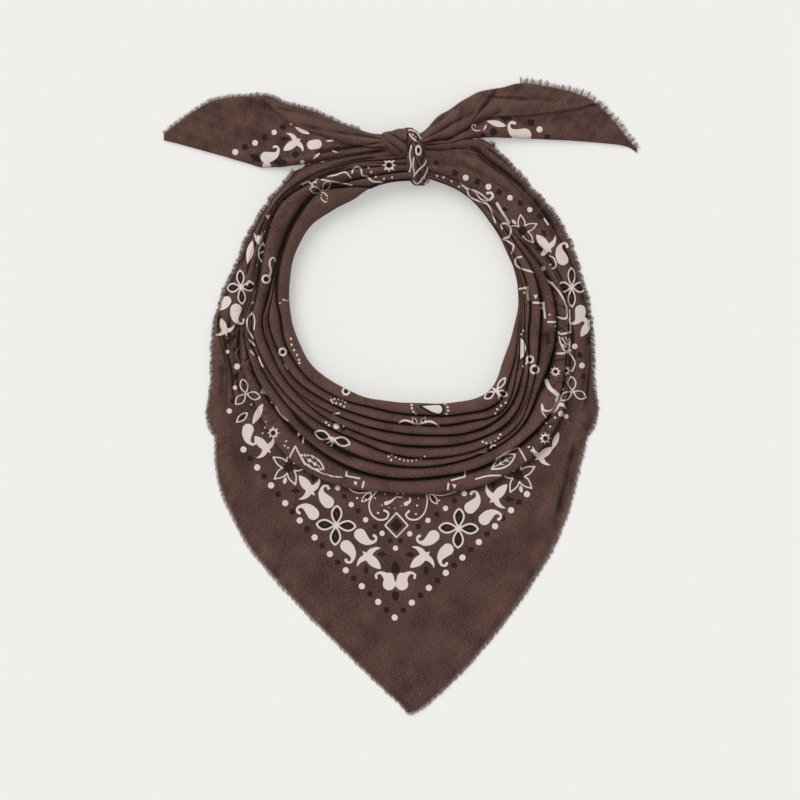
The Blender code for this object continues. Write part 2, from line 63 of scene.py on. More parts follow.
# Radius of each fold line round the neck opening, then the cloth's height at the rim and outside.
NECK_FOLDS = (
    # angle, rim, eight fold lines, height at the rim, height outside
    (86, 69.4, 69.4, 74.4, 74.4, 74.4, 78.7, 78.7, 78.7, 82.4, 14.5, 14),
    (100, 68.8, 68.8, 73.8, 73.8, 73.8, 78.7, 78.7, 80.6, 82.4, 14, 14),
    (108, 68.1, 68.1, 74.4, 74.4, 74.4, 80.6, 80.6, 84.3, 85, 13, 13.5),
    (118, 66, 73.5, 76.9, 76.9, 76.9, 84.3, 84.3, 87.4, 88.2, 12, 12.5),
    (130, 67.8, 81.2, 82.5, 82.5, 82.5, 88.7, 88.7, 91.1, 92.2, 11.5, 11),
    (145, 71.3, 80.6, 81.8, 81.8, 81.8, 94.2, 94.2, 95.5, 96.7, 11, 10),
    (160, 72.2, 79.1, 80.3, 80.6, 80.6, 91.1, 91.8, 93.6, 94.4, 11, 9.5),
    (175, 71.6, 78.7, 80.3, 82.2, 82.2, 89.9, 90.5, 93, 94, 11, 9),
    (182, 71.6, 78.6, 81.8, 84.3, 84.3, 91.8, 92.4, 95, 96.5, 11, 9),
    (190, 71.8, 78.1, 85.3, 89, 89, 96, 97.6, 100.4, 101.8, 11, 8.5),
    (205, 72.5, 79.7, 86.2, 90.5, 90.5, 96.8, 99.4, 104.6, 109.6, 11.5, 7),
    (220, 72.5, 79.7, 85.6, 90.8, 90.8, 96.4, 99.8, 106.2, 117, 12, 5.6),
    (235, 70.1, 76.9, 82.2, 87.4, 91.1, 95.6, 101.6, 109.2, 125, 12.5, 4.4),
    (250, 68.8, 74.1, 80.3, 85.6, 91.1, 95.5, 104.2, 112.4, 126.4, 12.5, 3.8),
    (265, 67.5, 73.5, 80.3, 86.2, 93, 99.5, 106.6, 114.4, 123.8, 12.5, 3.6),
    (280, 69.4, 76.6, 82.5, 89, 96.1, 103.2, 107.9, 114.7, 126, 12.5, 3.6),
    (295, 74.4, 82.5, 88, 94.6, 100.4, 106.6, 109.7, 117.2, 128.8, 12, 3.8),
    (310, 80, 88, 94.2, 96.1, 101.7, 107.3, 109.7, 117.5, 128.2, 11.5, 4.6),
    (325, 73.8, 80.6, 84, 88, 92.4, 96.7, 101.4, 115.3, 120.6, 11, 6),
    (340, 70.7, 74.1, 75.6, 78.1, 80.6, 88, 98, 106, 107.3, 10.5, 7.5),
    (355, 70.4, 71.3, 72.5, 73.8, 76.9, 83.7, 93, 100.4, 102, 10, 8.5),
    (370, 69.1, 69.1, 70.1, 71.3, 73.2, 79.4, 85.6, 91.1, 92.4, 9.5, 9),
    (385, 67.9, 67.9, 67.9, 67.9, 69.4, 74.4, 77.5, 80, 81.2, 9.5, 10),
    (400, 68.5, 68.5, 68.5, 68.5, 68.5, 72, 76, 76, 77, 10.5, 11),
    (415, 70.7, 70.7, 70.7, 70.7, 70.7, 73.2, 75, 75, 75.8, 12, 13),
    (444, 72, 72, 72, 72, 72, 73.8, 75, 75, 75.8, 14.5, 15),
)

# The cloth gathered outside the pleats: two fold lines, the frayed edge, and its height at each.
LEFT_SIDE = (
    # angle, first and second line, edge, height at each, lean
    (86, 84.6, 86.4, 88.4, 13.5, 13, 12, 0),
    (96, 84.8, 87.6, 90.2, 13.5, 13, 12, 0),
    (100, 84.9, 88.2, 91, 14, 13, 12, 0),
    (110, 87.2, 89.8, 92.6, 13, 12.5, 11.5, 0),
    (120, 90.8, 93.4, 95.8, 12, 11, 10, 0),
    (130, 96, 99.6, 102.2, 11.5, 8.5, 5, 0),
    (140, 98.2, 100.1, 101.4, 10.5, 7, 4.5, 0),
    (150, 98.6, 101.1, 102.3, 10, 6, 4, 0),
    (160, 97.5, 102, 103.8, 9.5, 5.5, 4, 0),
    (170, 98, 103.8, 106, 9.5, 5.5, 4, 0),
    (180, 103, 111, 112.8, 9.5, 5.5, 4, 0),
    (190, 111, 116.6, 120.3, 9, 6.5, 4, 0),
    (200, 112.5, 117.8, 127.1, 7.5, 6, 3.8, 0),
    (210, 116.6, 124.6, 135.8, 5.5, 4.8, 3.2, 0),
    (217, 121.5, 133.3, 145.7, 4, 3.6, 2.6, 0),
)
RIGHT_SIDE = (
    (322, 127, 135.2, 142, 4.4, 3.8, 2.6, 0),
    (330, 121.5, 128.3, 133.3, 6, 4.6, 3, 0),
    (337, 116.5, 123, 126.2, 7.2, 5.2, 3.4, 0),
    (345, 111.6, 117.8, 120.3, 8.2, 5.5, 3.6, 0),
    (355, 106.6, 111.6, 114.7, 8.6, 5.6, 3.8, 0),
    (365, 100.4, 105.4, 109.7, 9, 5.8, 3.8, 0),
    (375, 96.1, 101.7, 107.3, 9.5, 6, 4, 0),
    (385, 91.1, 98.6, 105.4, 10, 6.2, 4, 0),
    (400, 87.4, 96.1, 102, 11, 7, 4.5, 0),
    (415, 85.6, 95.5, 104.2, 12.5, 9, 6, 0),
    (424, 85.6, 96.6, 107, 13.5, 11, 9, 0),
    (428.5, 84.3, 94, 101.2, 14, 13, 12, 1.3),
    (433, 82.2, 90, 95.8, 14.5, 14.5, 14, 3),
    (436, 81, 88.6, 93.8, 15, 15, 14.5, 4.5),
    (444, 80, 87.6, 92.4, 14.5, 14, 13.5, 5.5),
)

# Frayed edge of the bib, from its left end round the point to its right end.
BIB_EDGE = (
    (-113.3, -22.7), (-113.2, -38.4), (-110.4, -55.8), (-101.7, -75.6), (-91.8, -93), (-75.6, -112.8),
    (-57.7, -132.1), (-39.1, -150.7), (-21.1, -168.6), (0, -188.5), (7, -194.6), (21.1, -184.8),
    (39.7, -166.8), (55.8, -148.2), (70.1, -129.6), (82.5, -111), (93.6, -92.4), (101.1, -74.4),
    (106.6, -55.8), (110.4, -38.4), (115, -22.4),
)
BACK_SHIFT = 2.4                    # how far the back layer of the bib lies towards +X
BACK_INSET = 0.5

# Long soft folds of the bib: from one end to the other, half width and height, a trough below 0.
BIB_FOLDS = (
    # x0, y0, x1, y1, half width, height
    (114, -4, 107, -32, 5, 2.6),
    (107, -32, 84, -84, 5.5, 2.4),
    (-118, -10, -106, -50, 6, 1.7),
    (-90, -40, -62, -92, 9, 0.6),
    (-30, -120, 10, -160, 13, 1),
    (36, -110, 80, -66, 8, 0.9),
    (109.7, -19.8, 94.9, -81.8, 2.3, -1.3),
    (97, -12, 84, -60, 5, -0.9),
    (-103, -4, -90, -66, 4.5, -1.1),
    (-20, -150, 16, -182, 7, 0.9),
    (52, -118, 92, -78, 6, -0.5),
)

# The tails, from the knot out to the tip: lower edge, line where the cloth is folded over, frayed
# upper edge, and height of the heap.
LEFT_TAIL = (
    # x, low, fold, high, height
    (-8.5, 153.6, 154, 163.2, 16),
    (-12.7, 153.3, 154.1, 163.5, 17),
    (-17.4, 152.5, 154.1, 164, 16.5),
    (-24.8, 151, 155.6, 166.2, 15.5),
    (-34.1, 149.1, 156.9, 169, 14),
    (-43.4, 147.6, 160.4, 173.6, 12.8),
    (-52.7, 146, 163.2, 177.6, 11.2),
    (-62, 144.5, 167, 180.4, 9.4),
    (-71.3, 143.5, 172.2, 182.9, 7.4),
    (-79.4, 142.9, 179.4, 186.6, 5.8),
    (-85.6, 142.9, 185, 187.6, 4.8),
    (-93, 145.1, 187.2, 187.2, 4.2),
    (-105.4, 148.8, 186.6, 186.6, 3.6),
    (-117.8, 152.2, 183.5, 183.5, 3.2),
    (-130.2, 155.6, 176.1, 176.1, 2.8),
    (-139.5, 158.1, 169, 169, 2.4),
    (-146.3, 159.7, 163.6, 163.6, 1.8),
)
RIGHT_TAIL = (
    (11.5, 156, 156.6, 163, 17),
    (15.8, 156.4, 157.2, 166, 17),
    (21.7, 156.4, 159.3, 173, 16),
    (31, 157.3, 161.2, 179.2, 14.5),
    (40.3, 159.8, 166.2, 185.4, 13),
    (49.6, 161, 172.4, 189.7, 11),
    (62, 161.4, 173.6, 192.5, 8.6),
    (74.4, 160.8, 174.2, 195.3, 6.6),
    (89.9, 160.2, 175.8, 193.4, 5.2),
    (108.5, 159.3, 178.6, 189.1, 4.2),
    (122, 158.3, 181, 182.4, 3.6),
    (130.2, 157.5, 174.5, 174.5, 3.2),
    (137.6, 156.5, 165.2, 165.2, 2.6),
    (143.2, 154.6, 158.4, 158.4, 1.8),
    (146.8, 152, 154.6, 154.6, 1.4),
)
FRAY_WIDTH = 1.1                    # how far the sides' threads reach over their own edge
FLAP_STEP = 1.6                     # how far the folded-over cloth stands above the rest

KNOT_LOBE = (
    # x, low, high, height
    (-12, 154.2, 163.4, 12),
    (-10.6, 152.5, 164.2, 15.5),
    (-8, 150.9, 164.8, 18.5),
    (-5, 149.5, 165.2, 20.5),
    (-1.5, 148.3, 166.4, 21.5),
    (2.8, 147.4, 166.6, 21),
)
KNOT_BAND = (
    # y, left, right, height
    (131.9, 9, 15.5, 7),
    (133.4, 7.2, 17.8, 11.5),
    (136.5, 4.8, 18.4, 17),
    (140.4, 3.9, 18.4, 20.5),
    (144.5, 3.6, 17.6, 22.5),
    (150, 3.4, 16, 23.8),
    (156, 3.4, 14.8, 23.8),
    (161.2, 3.4, 13.4, 22),
    (164.6, 3.2, 10.8, 17.5),
    (166.8, 3, 8, 11),
)


# ---- tables and curves -------------------------------------------------------------------------
def rows_at(table, keys):
    """Every column of a table at many values of its first column, by a cubic through its rows."""
    rows = np.array(table, dtype=float)
    at = rows[:, 0]
    if at[0] > at[-1]:
        rows, at = rows[::-1], at[::-1]
    slopes = np.gradient(rows, at, axis=0)
    keys = np.asarray(keys, dtype=float)
    i = np.clip(np.searchsorted(at, keys) - 1, 0, len(at) - 2)
    span = (at[i + 1] - at[i])[:, None]
    t = (keys - at[i])[:, None] / span
    low = rows[i] * (1 + 2 * t) * (1 - t) ** 2 + rows[i + 1] * t * t * (3 - 2 * t)
    return low + span * (slopes[i] * t * (1 - t) ** 2 - slopes[i + 1] * t * t * (1 - t))


def smooth_line(points, count):
    """A line of any width through the points, by a cubic, with count points."""
    rows = np.array(points, dtype=float)
    at = np.arange(len(rows), dtype=float)
    table = np.column_stack((at, rows))
    return rows_at(table, np.linspace(0, at[-1], count))[:, 1:]


def ease(x, start, end):
    """0 up to start, 1 from end on, smooth between."""
    t = np.clip((x - start) / (end - start), 0.0, 1.0)
    return t * t * (3 - 2 * t)


def waver(x, y, size, seed):
    """Smooth irregular height between about -1 and 1, whose waves are about size long."""
    total = 0.0
    for k in range(5):
        turn = 2.4 * k + 1.7 * seed
        wave = 2 * math.pi / (size * (0.75 + 0.17 * k))
        total = total + np.sin(wave * (x * math.cos(turn) + y * math.sin(turn)) + 3.1 * seed + k)
    return total / 3.0


def drift(x, size, seed):
    """Smooth irregular value along one direction, between about -1 and 1."""
    total = 0.0
    for k, share in enumerate((1.0, 1.47, 2.13)):
        total = total + np.sin(2 * math.pi * x * share / size + 2.3 * seed + 1.9 * k)
    return total / 2.2


def to_segment(x, y, x0, y0, x1, y1):
    """Share of the way along a segment of the spot nearest to each point, and the distance to it."""
    dx, dy = x1 - x0, y1 - y0
    t = np.clip(((x - x0) * dx + (y - y0) * dy) / max(dx * dx + dy * dy, 1e-9), 0.0, 1.0)
    return t, np.hypot(x - x0 - t * dx, y - y0 - t * dy)


def from_line(x, y, x0, y0, x1, y1):
    """A straight line's length, and the distances of points along it and across it."""
    length = math.hypot(x1 - x0, y1 - y0)
    ux, uy = (x1 - x0) / length, (y1 - y0) / length
    return length, (x - x0) * ux + (y - y0) * uy, (y - y0) * ux - (x - x0) * uy


def polar(angle, radius):
    """Plan position of a point by its angle round the neck opening and its radius."""
    a = np.radians(angle)
    return NECK[0] + radius * np.cos(a), NECK[1] + radius * np.sin(a)


def edge_radius(angle):
    """Distance from the neck middle to the frayed edge of the bib, along rays."""
    points = np.array(BIB_EDGE) - NECK
    smooth = smooth_line(points, 12 * (len(points) - 1) + 1)
    corner = 12 * 10
    smooth[corner - 3:corner + 4] = np.concatenate((
        np.linspace(smooth[corner - 3], points[10], 4),
        np.linspace(points[10], smooth[corner + 3], 4)[1:],
    ))
    at = np.degrees(np.arctan2(smooth[:, 1], smooth[:, 0])) % 360
    reach = np.hypot(smooth[:, 0], smooth[:, 1])
    return np.interp(angle, at, reach)


def bib_height(x, y):
    """Height of the bib's front layer over the surface."""
    height = np.full_like(x, BIB_TOP)
    for *ends, half, rise in BIB_FOLDS:
        length, t, across = from_line(x, y, *ends)
        fade = ease(t, -half, 0.3 * length) * ease(length - t, -half, 0.3 * length)
        height = height + rise * fade * np.exp(-(across / half) ** 2)
    height = height + 0.15 * waver(x, y, 46.0, 1) + 0.04 * waver(x, y, 15.0, 2)
    return height


# ---- the cloth's surfaces ----------------------------------------------------------------------
def spread(controls, count):
    """Smooth sections, count points each, through control points: an array [section, point, 3]."""
    weights = smooth_line(np.eye(controls.shape[1]), count)
    return np.einsum("vc,acd->avd", weights, controls)


def arc_coordinates(points):
    """Flat coordinates of a grid: the lengths along it in both directions, in millimetres."""
    down = np.linalg.norm(np.diff(points, axis=1), axis=2)
    v = np.concatenate((np.zeros((len(points), 1)), np.cumsum(down, axis=1)), axis=1)
    along = np.linalg.norm(np.diff(points, axis=0), axis=2).mean(axis=1)
    u = np.concatenate(([0.0], np.cumsum(along)))
    return np.stack((np.broadcast_to(u[:, None], v.shape), v), axis=2)


def neck_lines(angle):
    """Radii of the rim and the eight fold lines, uneven by a little, with the heights."""
    row = rows_at(NECK_FOLDS, angle)
    lines = np.maximum.accumulate(row[:, 1:10], axis=1)
    lines[:, -1] = np.maximum(lines[:, -1], lines[:, 0] + 1.4)
    lines = np.minimum(lines, lines[:, -1:])
    widths = np.diff(lines, axis=1)
    for k in range(1, 8):
        room = np.clip(np.minimum(widths[:, k - 1], widths[:, k]) - 2.0, 0.0, 3.0) / 3.0
        lines[:, k] += 0.32 * room * drift(angle, 41.0 + 5 * k, k)
    lines[:, 0] += 0.20 * drift(angle, 37.0, 9)
    return lines, row[:, 10], row[:, 11]


# One pleat in section: share of its width, and height over the line under it as a share of its rise.
PLEAT_SHAPE = (
    (-0.1, -1), (0.02, -0.86), (0.09, -0.55), (0.17, -0.12), (0.3, 0.36), (0.48, 0.76), (0.66, 0.97),
    (0.82, 1), (0.94, 0.84), (0.99, 0.46), (0.97, -0.1), (0.9, -0.8),
)
RIM_SHAPE = (
    (0.02, -1.2), (0.04, -0.5), (0.1, 0.1), (0.22, 0.5), (0.38, 0.78), (0.56, 0.95), (0.7, 1),
    (0.84, 0.98), (0.95, 0.8), (0.99, 0.4), (0.96, -0.2), (0.9, -0.9),
)
PLEAT_POINTS = (15, 12, 12, 12, 18, 14, 20, 22)     # points across each pleat

# Deeper valleys between the pleats: a polyline by angle and radius, half width, and height.
NECK_CREASES = (
    (((112, 72.5), (120, 76), (130, 81.2), (145, 81.2), (160, 79.8), (175, 79.6),
     (190, 79.4)), 1.7, -4.2),
    (((104, 83), (118, 86.2), (130, 90), (145, 94.8), (160, 92.6), (175, 91.6), (190, 98.4)), 1.2, -2.6),
    (((176, 82), (186, 86.6), (200, 89.6), (214, 90.6)), 1.2, -1.6),
    (((336, 96), (345, 92), (354, 87.5), (364, 82)), 2.6, -2.4),
    (((356, 96), (366, 89.5), (376, 82), (386, 78.4)), 1.6, -2.6),
    (((386, 78.4), (400, 76.4), (415, 75.2), (430, 75)), 1, -1.6),
    (((224, 100.5), (234, 104), (246, 106.2), (258, 108.6)), 2.6, -2.6),
    (((321.5, 107.7), (327.3, 103.2), (334, 100.4), (340.6, 98.2), (347.3, 96), (354.1, 93.1),
     (361.2, 87.9), (372.5, 83)), 2.2, -3.2),
    (((331, 98), (338.5, 93.3), (346, 88)), 5, -2.4),
    (((300, 104.6), (312, 103.6), (322, 98.4)), 1.6, -1.6),
    (((292, 94.2), (304, 98.2), (316, 94.8), (326, 89)), 1.2, -1.4),
)


def pleat_profile(shape, count):
    """Points along a pleat's section, closer together where it turns."""
    dense = smooth_line(shape, 121)
    step = np.hypot(np.diff(dense[:, 0]), 0.14 * np.diff(dense[:, 1]))
    run = np.concatenate(([0.0], np.cumsum(step)))
    at = np.linspace(0.0, run[-1], count)
    return np.column_stack((np.interp(at, run, dense[:, 0]), np.interp(at, run, dense[:, 1])))


def neck_surface(angle):
    """The pleated roll round the neck opening, and the pleat that each of its points lies on."""
    lines, h_rim, h_out = neck_lines(angle)
    rim, outer = lines[:, 0], lines[:, -1]
    span = outer - rim
    radii, heights, which = [], [], []

    def add(radius, height, pleat):
        radii.append(radius)
        heights.append(height)
        which.append(pleat)

    def low(radius):
        s = np.clip((radius - rim) / span, 0.0, 1.0)
        return h_rim + (h_out - h_rim) * s ** 1.15

    for dr, share in ((1.6, 0.02), (0.7, 0.08), (0.15, 0.22), (0.0, 0.42), (0.05, 0.60), (0.2, 0.76)):
        add(rim + dr, h_rim * share, -1)
    for k in range(8):
        start, end = lines[:, k], lines[:, k + 1]
        width = end - start
        rise = np.minimum(PLEAT_RISE * width, PLEAT_RISE_MAX)
        rise = rise * (1.0 + 0.16 * drift(angle, 53.0 + 7 * k, 3 * k + 1))
        shape = pleat_profile(RIM_SHAPE if k == 0 else PLEAT_SHAPE, PLEAT_POINTS[k])
        for t, h in shape:
            add(start + width * t, low(start + width * t) + rise * h, k)
    tuck = np.clip(outer - lines[:, -2], 0.6, 3.0)
    for share, drop in ((0.30, 0.12), (0.55, 0.30), (0.75, 0.45)):
        add(outer - tuck * share, np.maximum(low(outer) * (1 - drop), 1.6), 7)
    radius = np.stack(radii, axis=1)
    height = np.stack(heights, axis=1)
    x, y = polar(angle[:, None], radius)
    fine = 0.10 * waver(x, y, 11.0, 3) + 0.16 * waver(x, y, 27.0, 4)
    height = height + (fine + creased(x, y, NECK_CREASES)) * ease(height, 2.0, 6.0)
    points = np.stack((x, y, height), axis=2)
    pleats = np.broadcast_to(np.array(which), radius.shape)
    return points, pleats


def bib_radii(angle, share):
    """Radius at shares of the way from under the pleats to the frayed edge, and the edge's own."""
    lines, _, _ = neck_lines(angle)
    inner = lines[:, -1] - 2.6
    edge = edge_radius(angle)
    return inner[:, None] + (edge - inner)[:, None] * share, edge


def bib_shares():
    """Where the bib's points lie between the pleats and the edge, closer in its printed part."""
    dense = np.linspace(0.0, PRINTED_SHARE, PRINTED_ROWS)
    sparse = np.linspace(PRINTED_SHARE, 1.0, SIDE_ROWS - RIM_ROWS - PRINTED_ROWS + 1)[1:]
    return np.concatenate((dense, sparse))


def with_rim(points, edge_drop):
    """The grid with three more rows at its outer edge, which turn the cloth down and under."""
    last, before = points[:, -1], points[:, -2]
    away = last - before
    away[:, 2] = 0.0
    away /= np.maximum(np.linalg.norm(away, axis=1), 1e-6)[:, None]
    rows = [points]
    for out, down in ((0.22, 0.35), (0.12, 0.75), (-0.5, 1.0)):
        row = last + away * out
        row[:, 2] = last[:, 2] - edge_drop * down
        rows.append(row[:, None, :])
    return np.concatenate(rows, axis=1)


def bib_surface(angle):
    """The front layer of the bib along rays at these angles."""
    radius, edge = bib_radii(angle, bib_shares())
    x, y = polar(angle[:, None], radius)
    z = bib_height(x, y)
    beyond = radius - edge[:, None]
    z = z - 0.85 * ease(beyond, -9.0, 0.0)
    ripple = drift(np.broadcast_to(angle[:, None] * 3.1, x.shape), 19.0, 5)
    z = z + 0.28 * ripple * ease(beyond, -16.0, -1.0)
    lines, _, _ = neck_lines(angle)
    under = radius - lines[:, -1:]
    z = z + 0.5 * np.exp(-((under - 9.0) / 6.0) ** 2) - 0.35 * np.exp(-((under - 1.0) / 2.2) ** 2)
    return with_rim(np.dstack((x, y, z)), 0.8)


# Creases of the gathered sides: a polyline by angle and radius, half width, and height (troughs < 0).
LEFT_CREASES = (
    (((128, 91.4), (135, 93.2), (145, 95.6), (152, 96.2)), 1, -2.2),
    (((146, 97.6), (156, 97.2), (166, 97.4), (176, 99)), 1.1, -1.8),
    (((190, 103), (195, 106.4), (200, 109.4), (206, 112.6)), 1.3, -2.2),
    (((186, 108.8), (196, 112.6), (206, 115.4), (215, 119.5)), 1.5, -1.8),
    (((192, 109.4), (197, 110.8), (201, 112.2), (206, 114.2)), 1.2, -1.6),
    (((184, 113), (192, 118.2), (200, 123.5), (210, 131.5)), 3, 0.9),
    (((168, 101.2), (176, 104.6), (184, 110.8)), 2, 0.8),
    (((206, 122), (213, 129), (217, 136)), 3.5, -0.5),
    (((100, 84.6), (110, 86.5), (120, 89.4), (128, 93)), 0.9, -1.8),
    (((193, 101.8), (203, 107.6), (212.2, 113.6), (219, 118)), 2.4, -2.6),
    (((196, 106), (199, 112)), 1.3, -1.4),
    (((204, 110), (207, 117)), 1.3, -1.2),
    (((190, 103.6), (193.6, 109.4)), 1.1, -1.3),
    (((183.7, 116.2), (191.5, 115.1), (204, 117.4), (211, 122.5), (217.6, 129.1)), 1.5, -2),
    (((186, 119.5), (194, 118.6), (204, 121.4), (212, 127.5)), 2.4, 1.2),
)
RIGHT_CREASES = (
    (((434, 79), (424, 83.5), (412, 85.6), (398, 86)), 1.8, 0.5),
    (((427.7, 100.8), (421, 97), (415.5, 96), (406, 97.5), (398, 99.2), (388, 100.6),
     (380, 103)), 2.2, -2.4),
    (((432, 88.5), (424, 91), (414, 90.5), (400, 92.4)), 2.6, 0.8),
    (((424, 103.4), (414, 102), (404, 101.6)), 0.8, -0.8),
    (((384, 84), (374, 90.5), (364, 97), (354, 103)), 1.3, -2),
    (((368, 95.5), (358, 100.8), (346, 107)), 2, 1),
    (((352, 108.4), (342, 114.5), (332, 121), (322, 128.5)), 2, 1),
    (((350, 103), (342, 107), (334, 111.5), (326, 118.6)), 1.6, -2),
    (((356, 101), (348, 105.6), (338, 112.6), (330, 118)), 1.2, -1.4),
    (((378, 78.5), (370, 85), (362, 92.5)), 1.2, -1.6),
    (((330, 111), (326, 114), (322, 119)), 1.4, -0.9),
)


# Crumpled patches: middle, half length along and across a direction, that direction, and depth.
CRUMPLES = (
    (99.2, 33, 46, 7, 90, 1.1),
    (92.5, -15, 13, 6, 60, 1),
    (-95.5, 29, 27, 5.5, 92, 1.1),
    (-84.5, -12.5, 13, 5.5, -50, 1),
    (-72, 117, 26, 5, 45, 0.8),
)


def crumpled(x, y):
    """Height of the small sharp creases in the crumpled patches."""
    rise = np.zeros_like(x)
    for k, (mx, my, along, across, turn, depth) in enumerate(CRUMPLES):
        c, s = math.cos(math.radians(turn)), math.sin(math.radians(turn))
        u = ((x - mx) * c + (y - my) * s) / along
        v = ((y - my) * c - (x - mx) * s) / across
        mask = np.exp(-(u ** 4 + v ** 4))
        sharp = np.exp(-(waver(x, y, 10.0, 41 + k) / 0.20) ** 2)
        rise += mask * depth * (0.45 * waver(x, y, 6.5, 51 + k) - sharp)
    return rise


def near_line(x, y, line):
    """Distance of points from a polyline given by angle and radius, and the share along it."""
    rows = smooth_line(line, 6 * (len(line) - 1) + 1)
    px, py = polar(rows[:, 0], rows[:, 1])
    best, share = np.full(x.shape, FAR), np.zeros(x.shape)
    for k in range(len(px) - 1):
        t, away = to_segment(x, y, px[k], py[k], px[k + 1], py[k + 1])
        share = np.where(away < best, (k + t) / (len(px) - 1), share)
        best = np.minimum(best, away)
    return best, share


def creased(x, y, creases):
    """Height that creases and crumpled patches add."""
    rise = np.zeros_like(x)
    for line, half, height in creases:
        away, share = near_line(x, y, line)
        fade = ease(share, 0.0, 0.22) * ease(1.0 - share, 0.0, 0.22)
        rise += height * fade * np.exp(-(away / half) ** 2)
    return rise + crumpled(x, y)


def side_surface(table, angle, creases, seam):
    """The gathered cloth outside the pleats, which runs smoothly into the bib at its seam angle."""
    lines, _, h_out = neck_lines(angle)
    a, b, edge, h_a, h_b, h_edge, lean = rows_at(table, angle)[:, 1:].T
    inner = lines[:, -1]
    a, b = np.maximum(a, inner + 0.4), np.maximum(b, inner + 0.8)
    away = ease(np.abs(angle - seam), 8.0, 26.0)
    edge = edge - away * (FRAY_WIDTH - 0.45 * drift(angle, 9.0, 61) - 0.3 * drift(angle, 3.4, 62))
    h_edge = h_edge + away * 0.35 * drift(angle, 5.2, 63)
    b = np.maximum(np.minimum(b, edge - 0.8), inner + 0.8)
    a = np.minimum(a, b - 0.3)
    edge = np.maximum(edge, b + 0.4)
    hem = edge - b
    controls = np.stack([np.column_stack(place) for place in (
        (inner - 2.6, h_out * 0.62),
        (inner - 1.0, h_out * 0.74),
        (inner + 0.6, h_out * 0.90),
        (inner + (a - inner) * 0.5, (h_out + h_a) * 0.5 + 0.5),
        (a, h_a + 0.1),
        (a + (b - a) * 0.45, h_a * 0.5 + h_b * 0.5 + 0.5),
        (b - (b - a) * 0.14, h_b + 0.6),
        (b + 0.25, h_b - 0.1),
        (b + 0.05, h_b - 1.7),
        (b + hem * 0.22, h_b * 0.5 + h_edge * 0.5 - 1.3),
        (b + hem * 0.65, h_b * 0.3 + h_edge * 0.7 - 0.1),
        (edge - 0.2, h_edge - 0.1),
    )], axis=1)
    section = spread(controls, SIDE_ROWS - RIM_ROWS)
    radius, height = section[..., 0], section[..., 1]
    out = radius - inner[:, None]
    x, y = polar(angle[:, None] + (lean / np.maximum(edge - inner, 1.0))[:, None] * out, radius)
    height = height + creased(x, y, creases) * ease(out, 0.0, 2.0)
    height = height + 0.16 * waver(x, y, 9.0, 6) + 0.24 * waver(x, y, 22.0, 7)
    points = with_rim(np.dstack((x, y, np.maximum(height, 1.4))), 1.0)
    share = ease(np.abs(angle - seam), 0.0, 13.0)[:, None, None]
    near = (angle > BIB_START - 14.0) & (angle < BIB_END + 14.0)
    flat = bib_surface(np.where(near, angle, seam))
    return np.where(near[:, None, None], points * share + flat * (1 - share), points)


def back_surface():
    """The layer that the whole piece lies on: a thin sheet just over the surface."""
    angle = np.arange(NECK_START, NECK_END + 0.5, BACK_STEP)
    lines, _, _ = neck_lines(angle)
    inner = lines[:, 0] + 2.0
    left, right = rows_at(LEFT_SIDE, angle), rows_at(RIGHT_SIDE, angle)
    in_bib = (angle >= BIB_START) & (angle <= BIB_END)
    outer = np.where(angle < BIB_START, left[:, 3], right[:, 3]) - 1.6
    shifted = edge_radius(angle) + BACK_SHIFT * np.cos(np.radians(angle)) - BACK_INSET
    outer = np.where(in_bib, shifted, np.maximum(outer, inner + 2.0))
    outer = np.where(angle < 100.0, inner + 8.0, outer)
    share = np.linspace(0.0, 1.0, 60)
    radius = inner[:, None] + (outer - inner)[:, None] * share
    x, y = polar(angle[:, None], radius)
    z = 0.62 + 0.10 * waver(x, y, 31.0, 8) + 0.12 * in_bib[:, None]
    return with_rim(np.dstack((x, y, z)), 0.35)


# A tail in section, from its lower edge up: share of its width and of its height.
TAIL_SHAPE = (
    (0.03, 0.02), (0, 0.2), (0.002, 0.45), (0.03, 0.78), (0.12, 0.97), (0.3, 1), (0.52, 0.94),
    (0.76, 0.8), (0.93, 0.64), (0.99, 0.42), (0.985, 0.1),
)
TAIL_FOLDED = TAIL_SHAPE[:6] + (
    (0.6, 0.95), (0.88, 0.88), (1.06, 0.8), (1.12, 0.6), (1.12, 0.2),
)
FLAP_SHAPE = (
    (0.03, 0.1), (0.006, 0.45), (0, 0.74), (0.035, 0.93), (0.13, 1), (0.32, 0.98), (0.52, 0.84),
    (0.72, 0.66), (0.9, 0.48), (0.985, 0.3), (0.97, 0.04),
)

# Creases of the tails: two ends, half width and height.
LEFT_TAIL_CREASES = (
    # x0, y0, x1, y1, half width, height
    (-14, 157, -48, 152, 1.6, -1.3),
    (-14, 160, -58, 168, 1.8, -1.1),
    (-12, 158.5, -40, 160.5, 1.4, 1),
    (-16, 154.5, -70, 146.5, 1.5, 0.8),
    (-30, 163, -66, 174, 2.4, 0.7),
    (-60, 163, -96, 172, 6, 0.7),
    (-88, 150, -128, 166, 7, 0.5),
    (-70, 178, -92, 183, 2.5, -0.5),
)
RIGHT_TAIL_CREASES = (
    (16, 160, 52, 180, 1.7, -1.3),
    (18, 163.5, 44, 184, 1.9, 1),
    (30, 160, 60, 176, 1.5, -0.9),
    (36, 166, 38, 178, 1.6, -0.8),
    (44, 170, 58, 188.5, 1.4, -1),
    (60, 186, 118, 183, 2.2, -0.6),
    (64, 181, 120, 184, 5, 0.6),
    (80, 166, 134, 166, 5, 0.5),
    (20, 158.4, 60, 163, 1.5, -0.9),
)


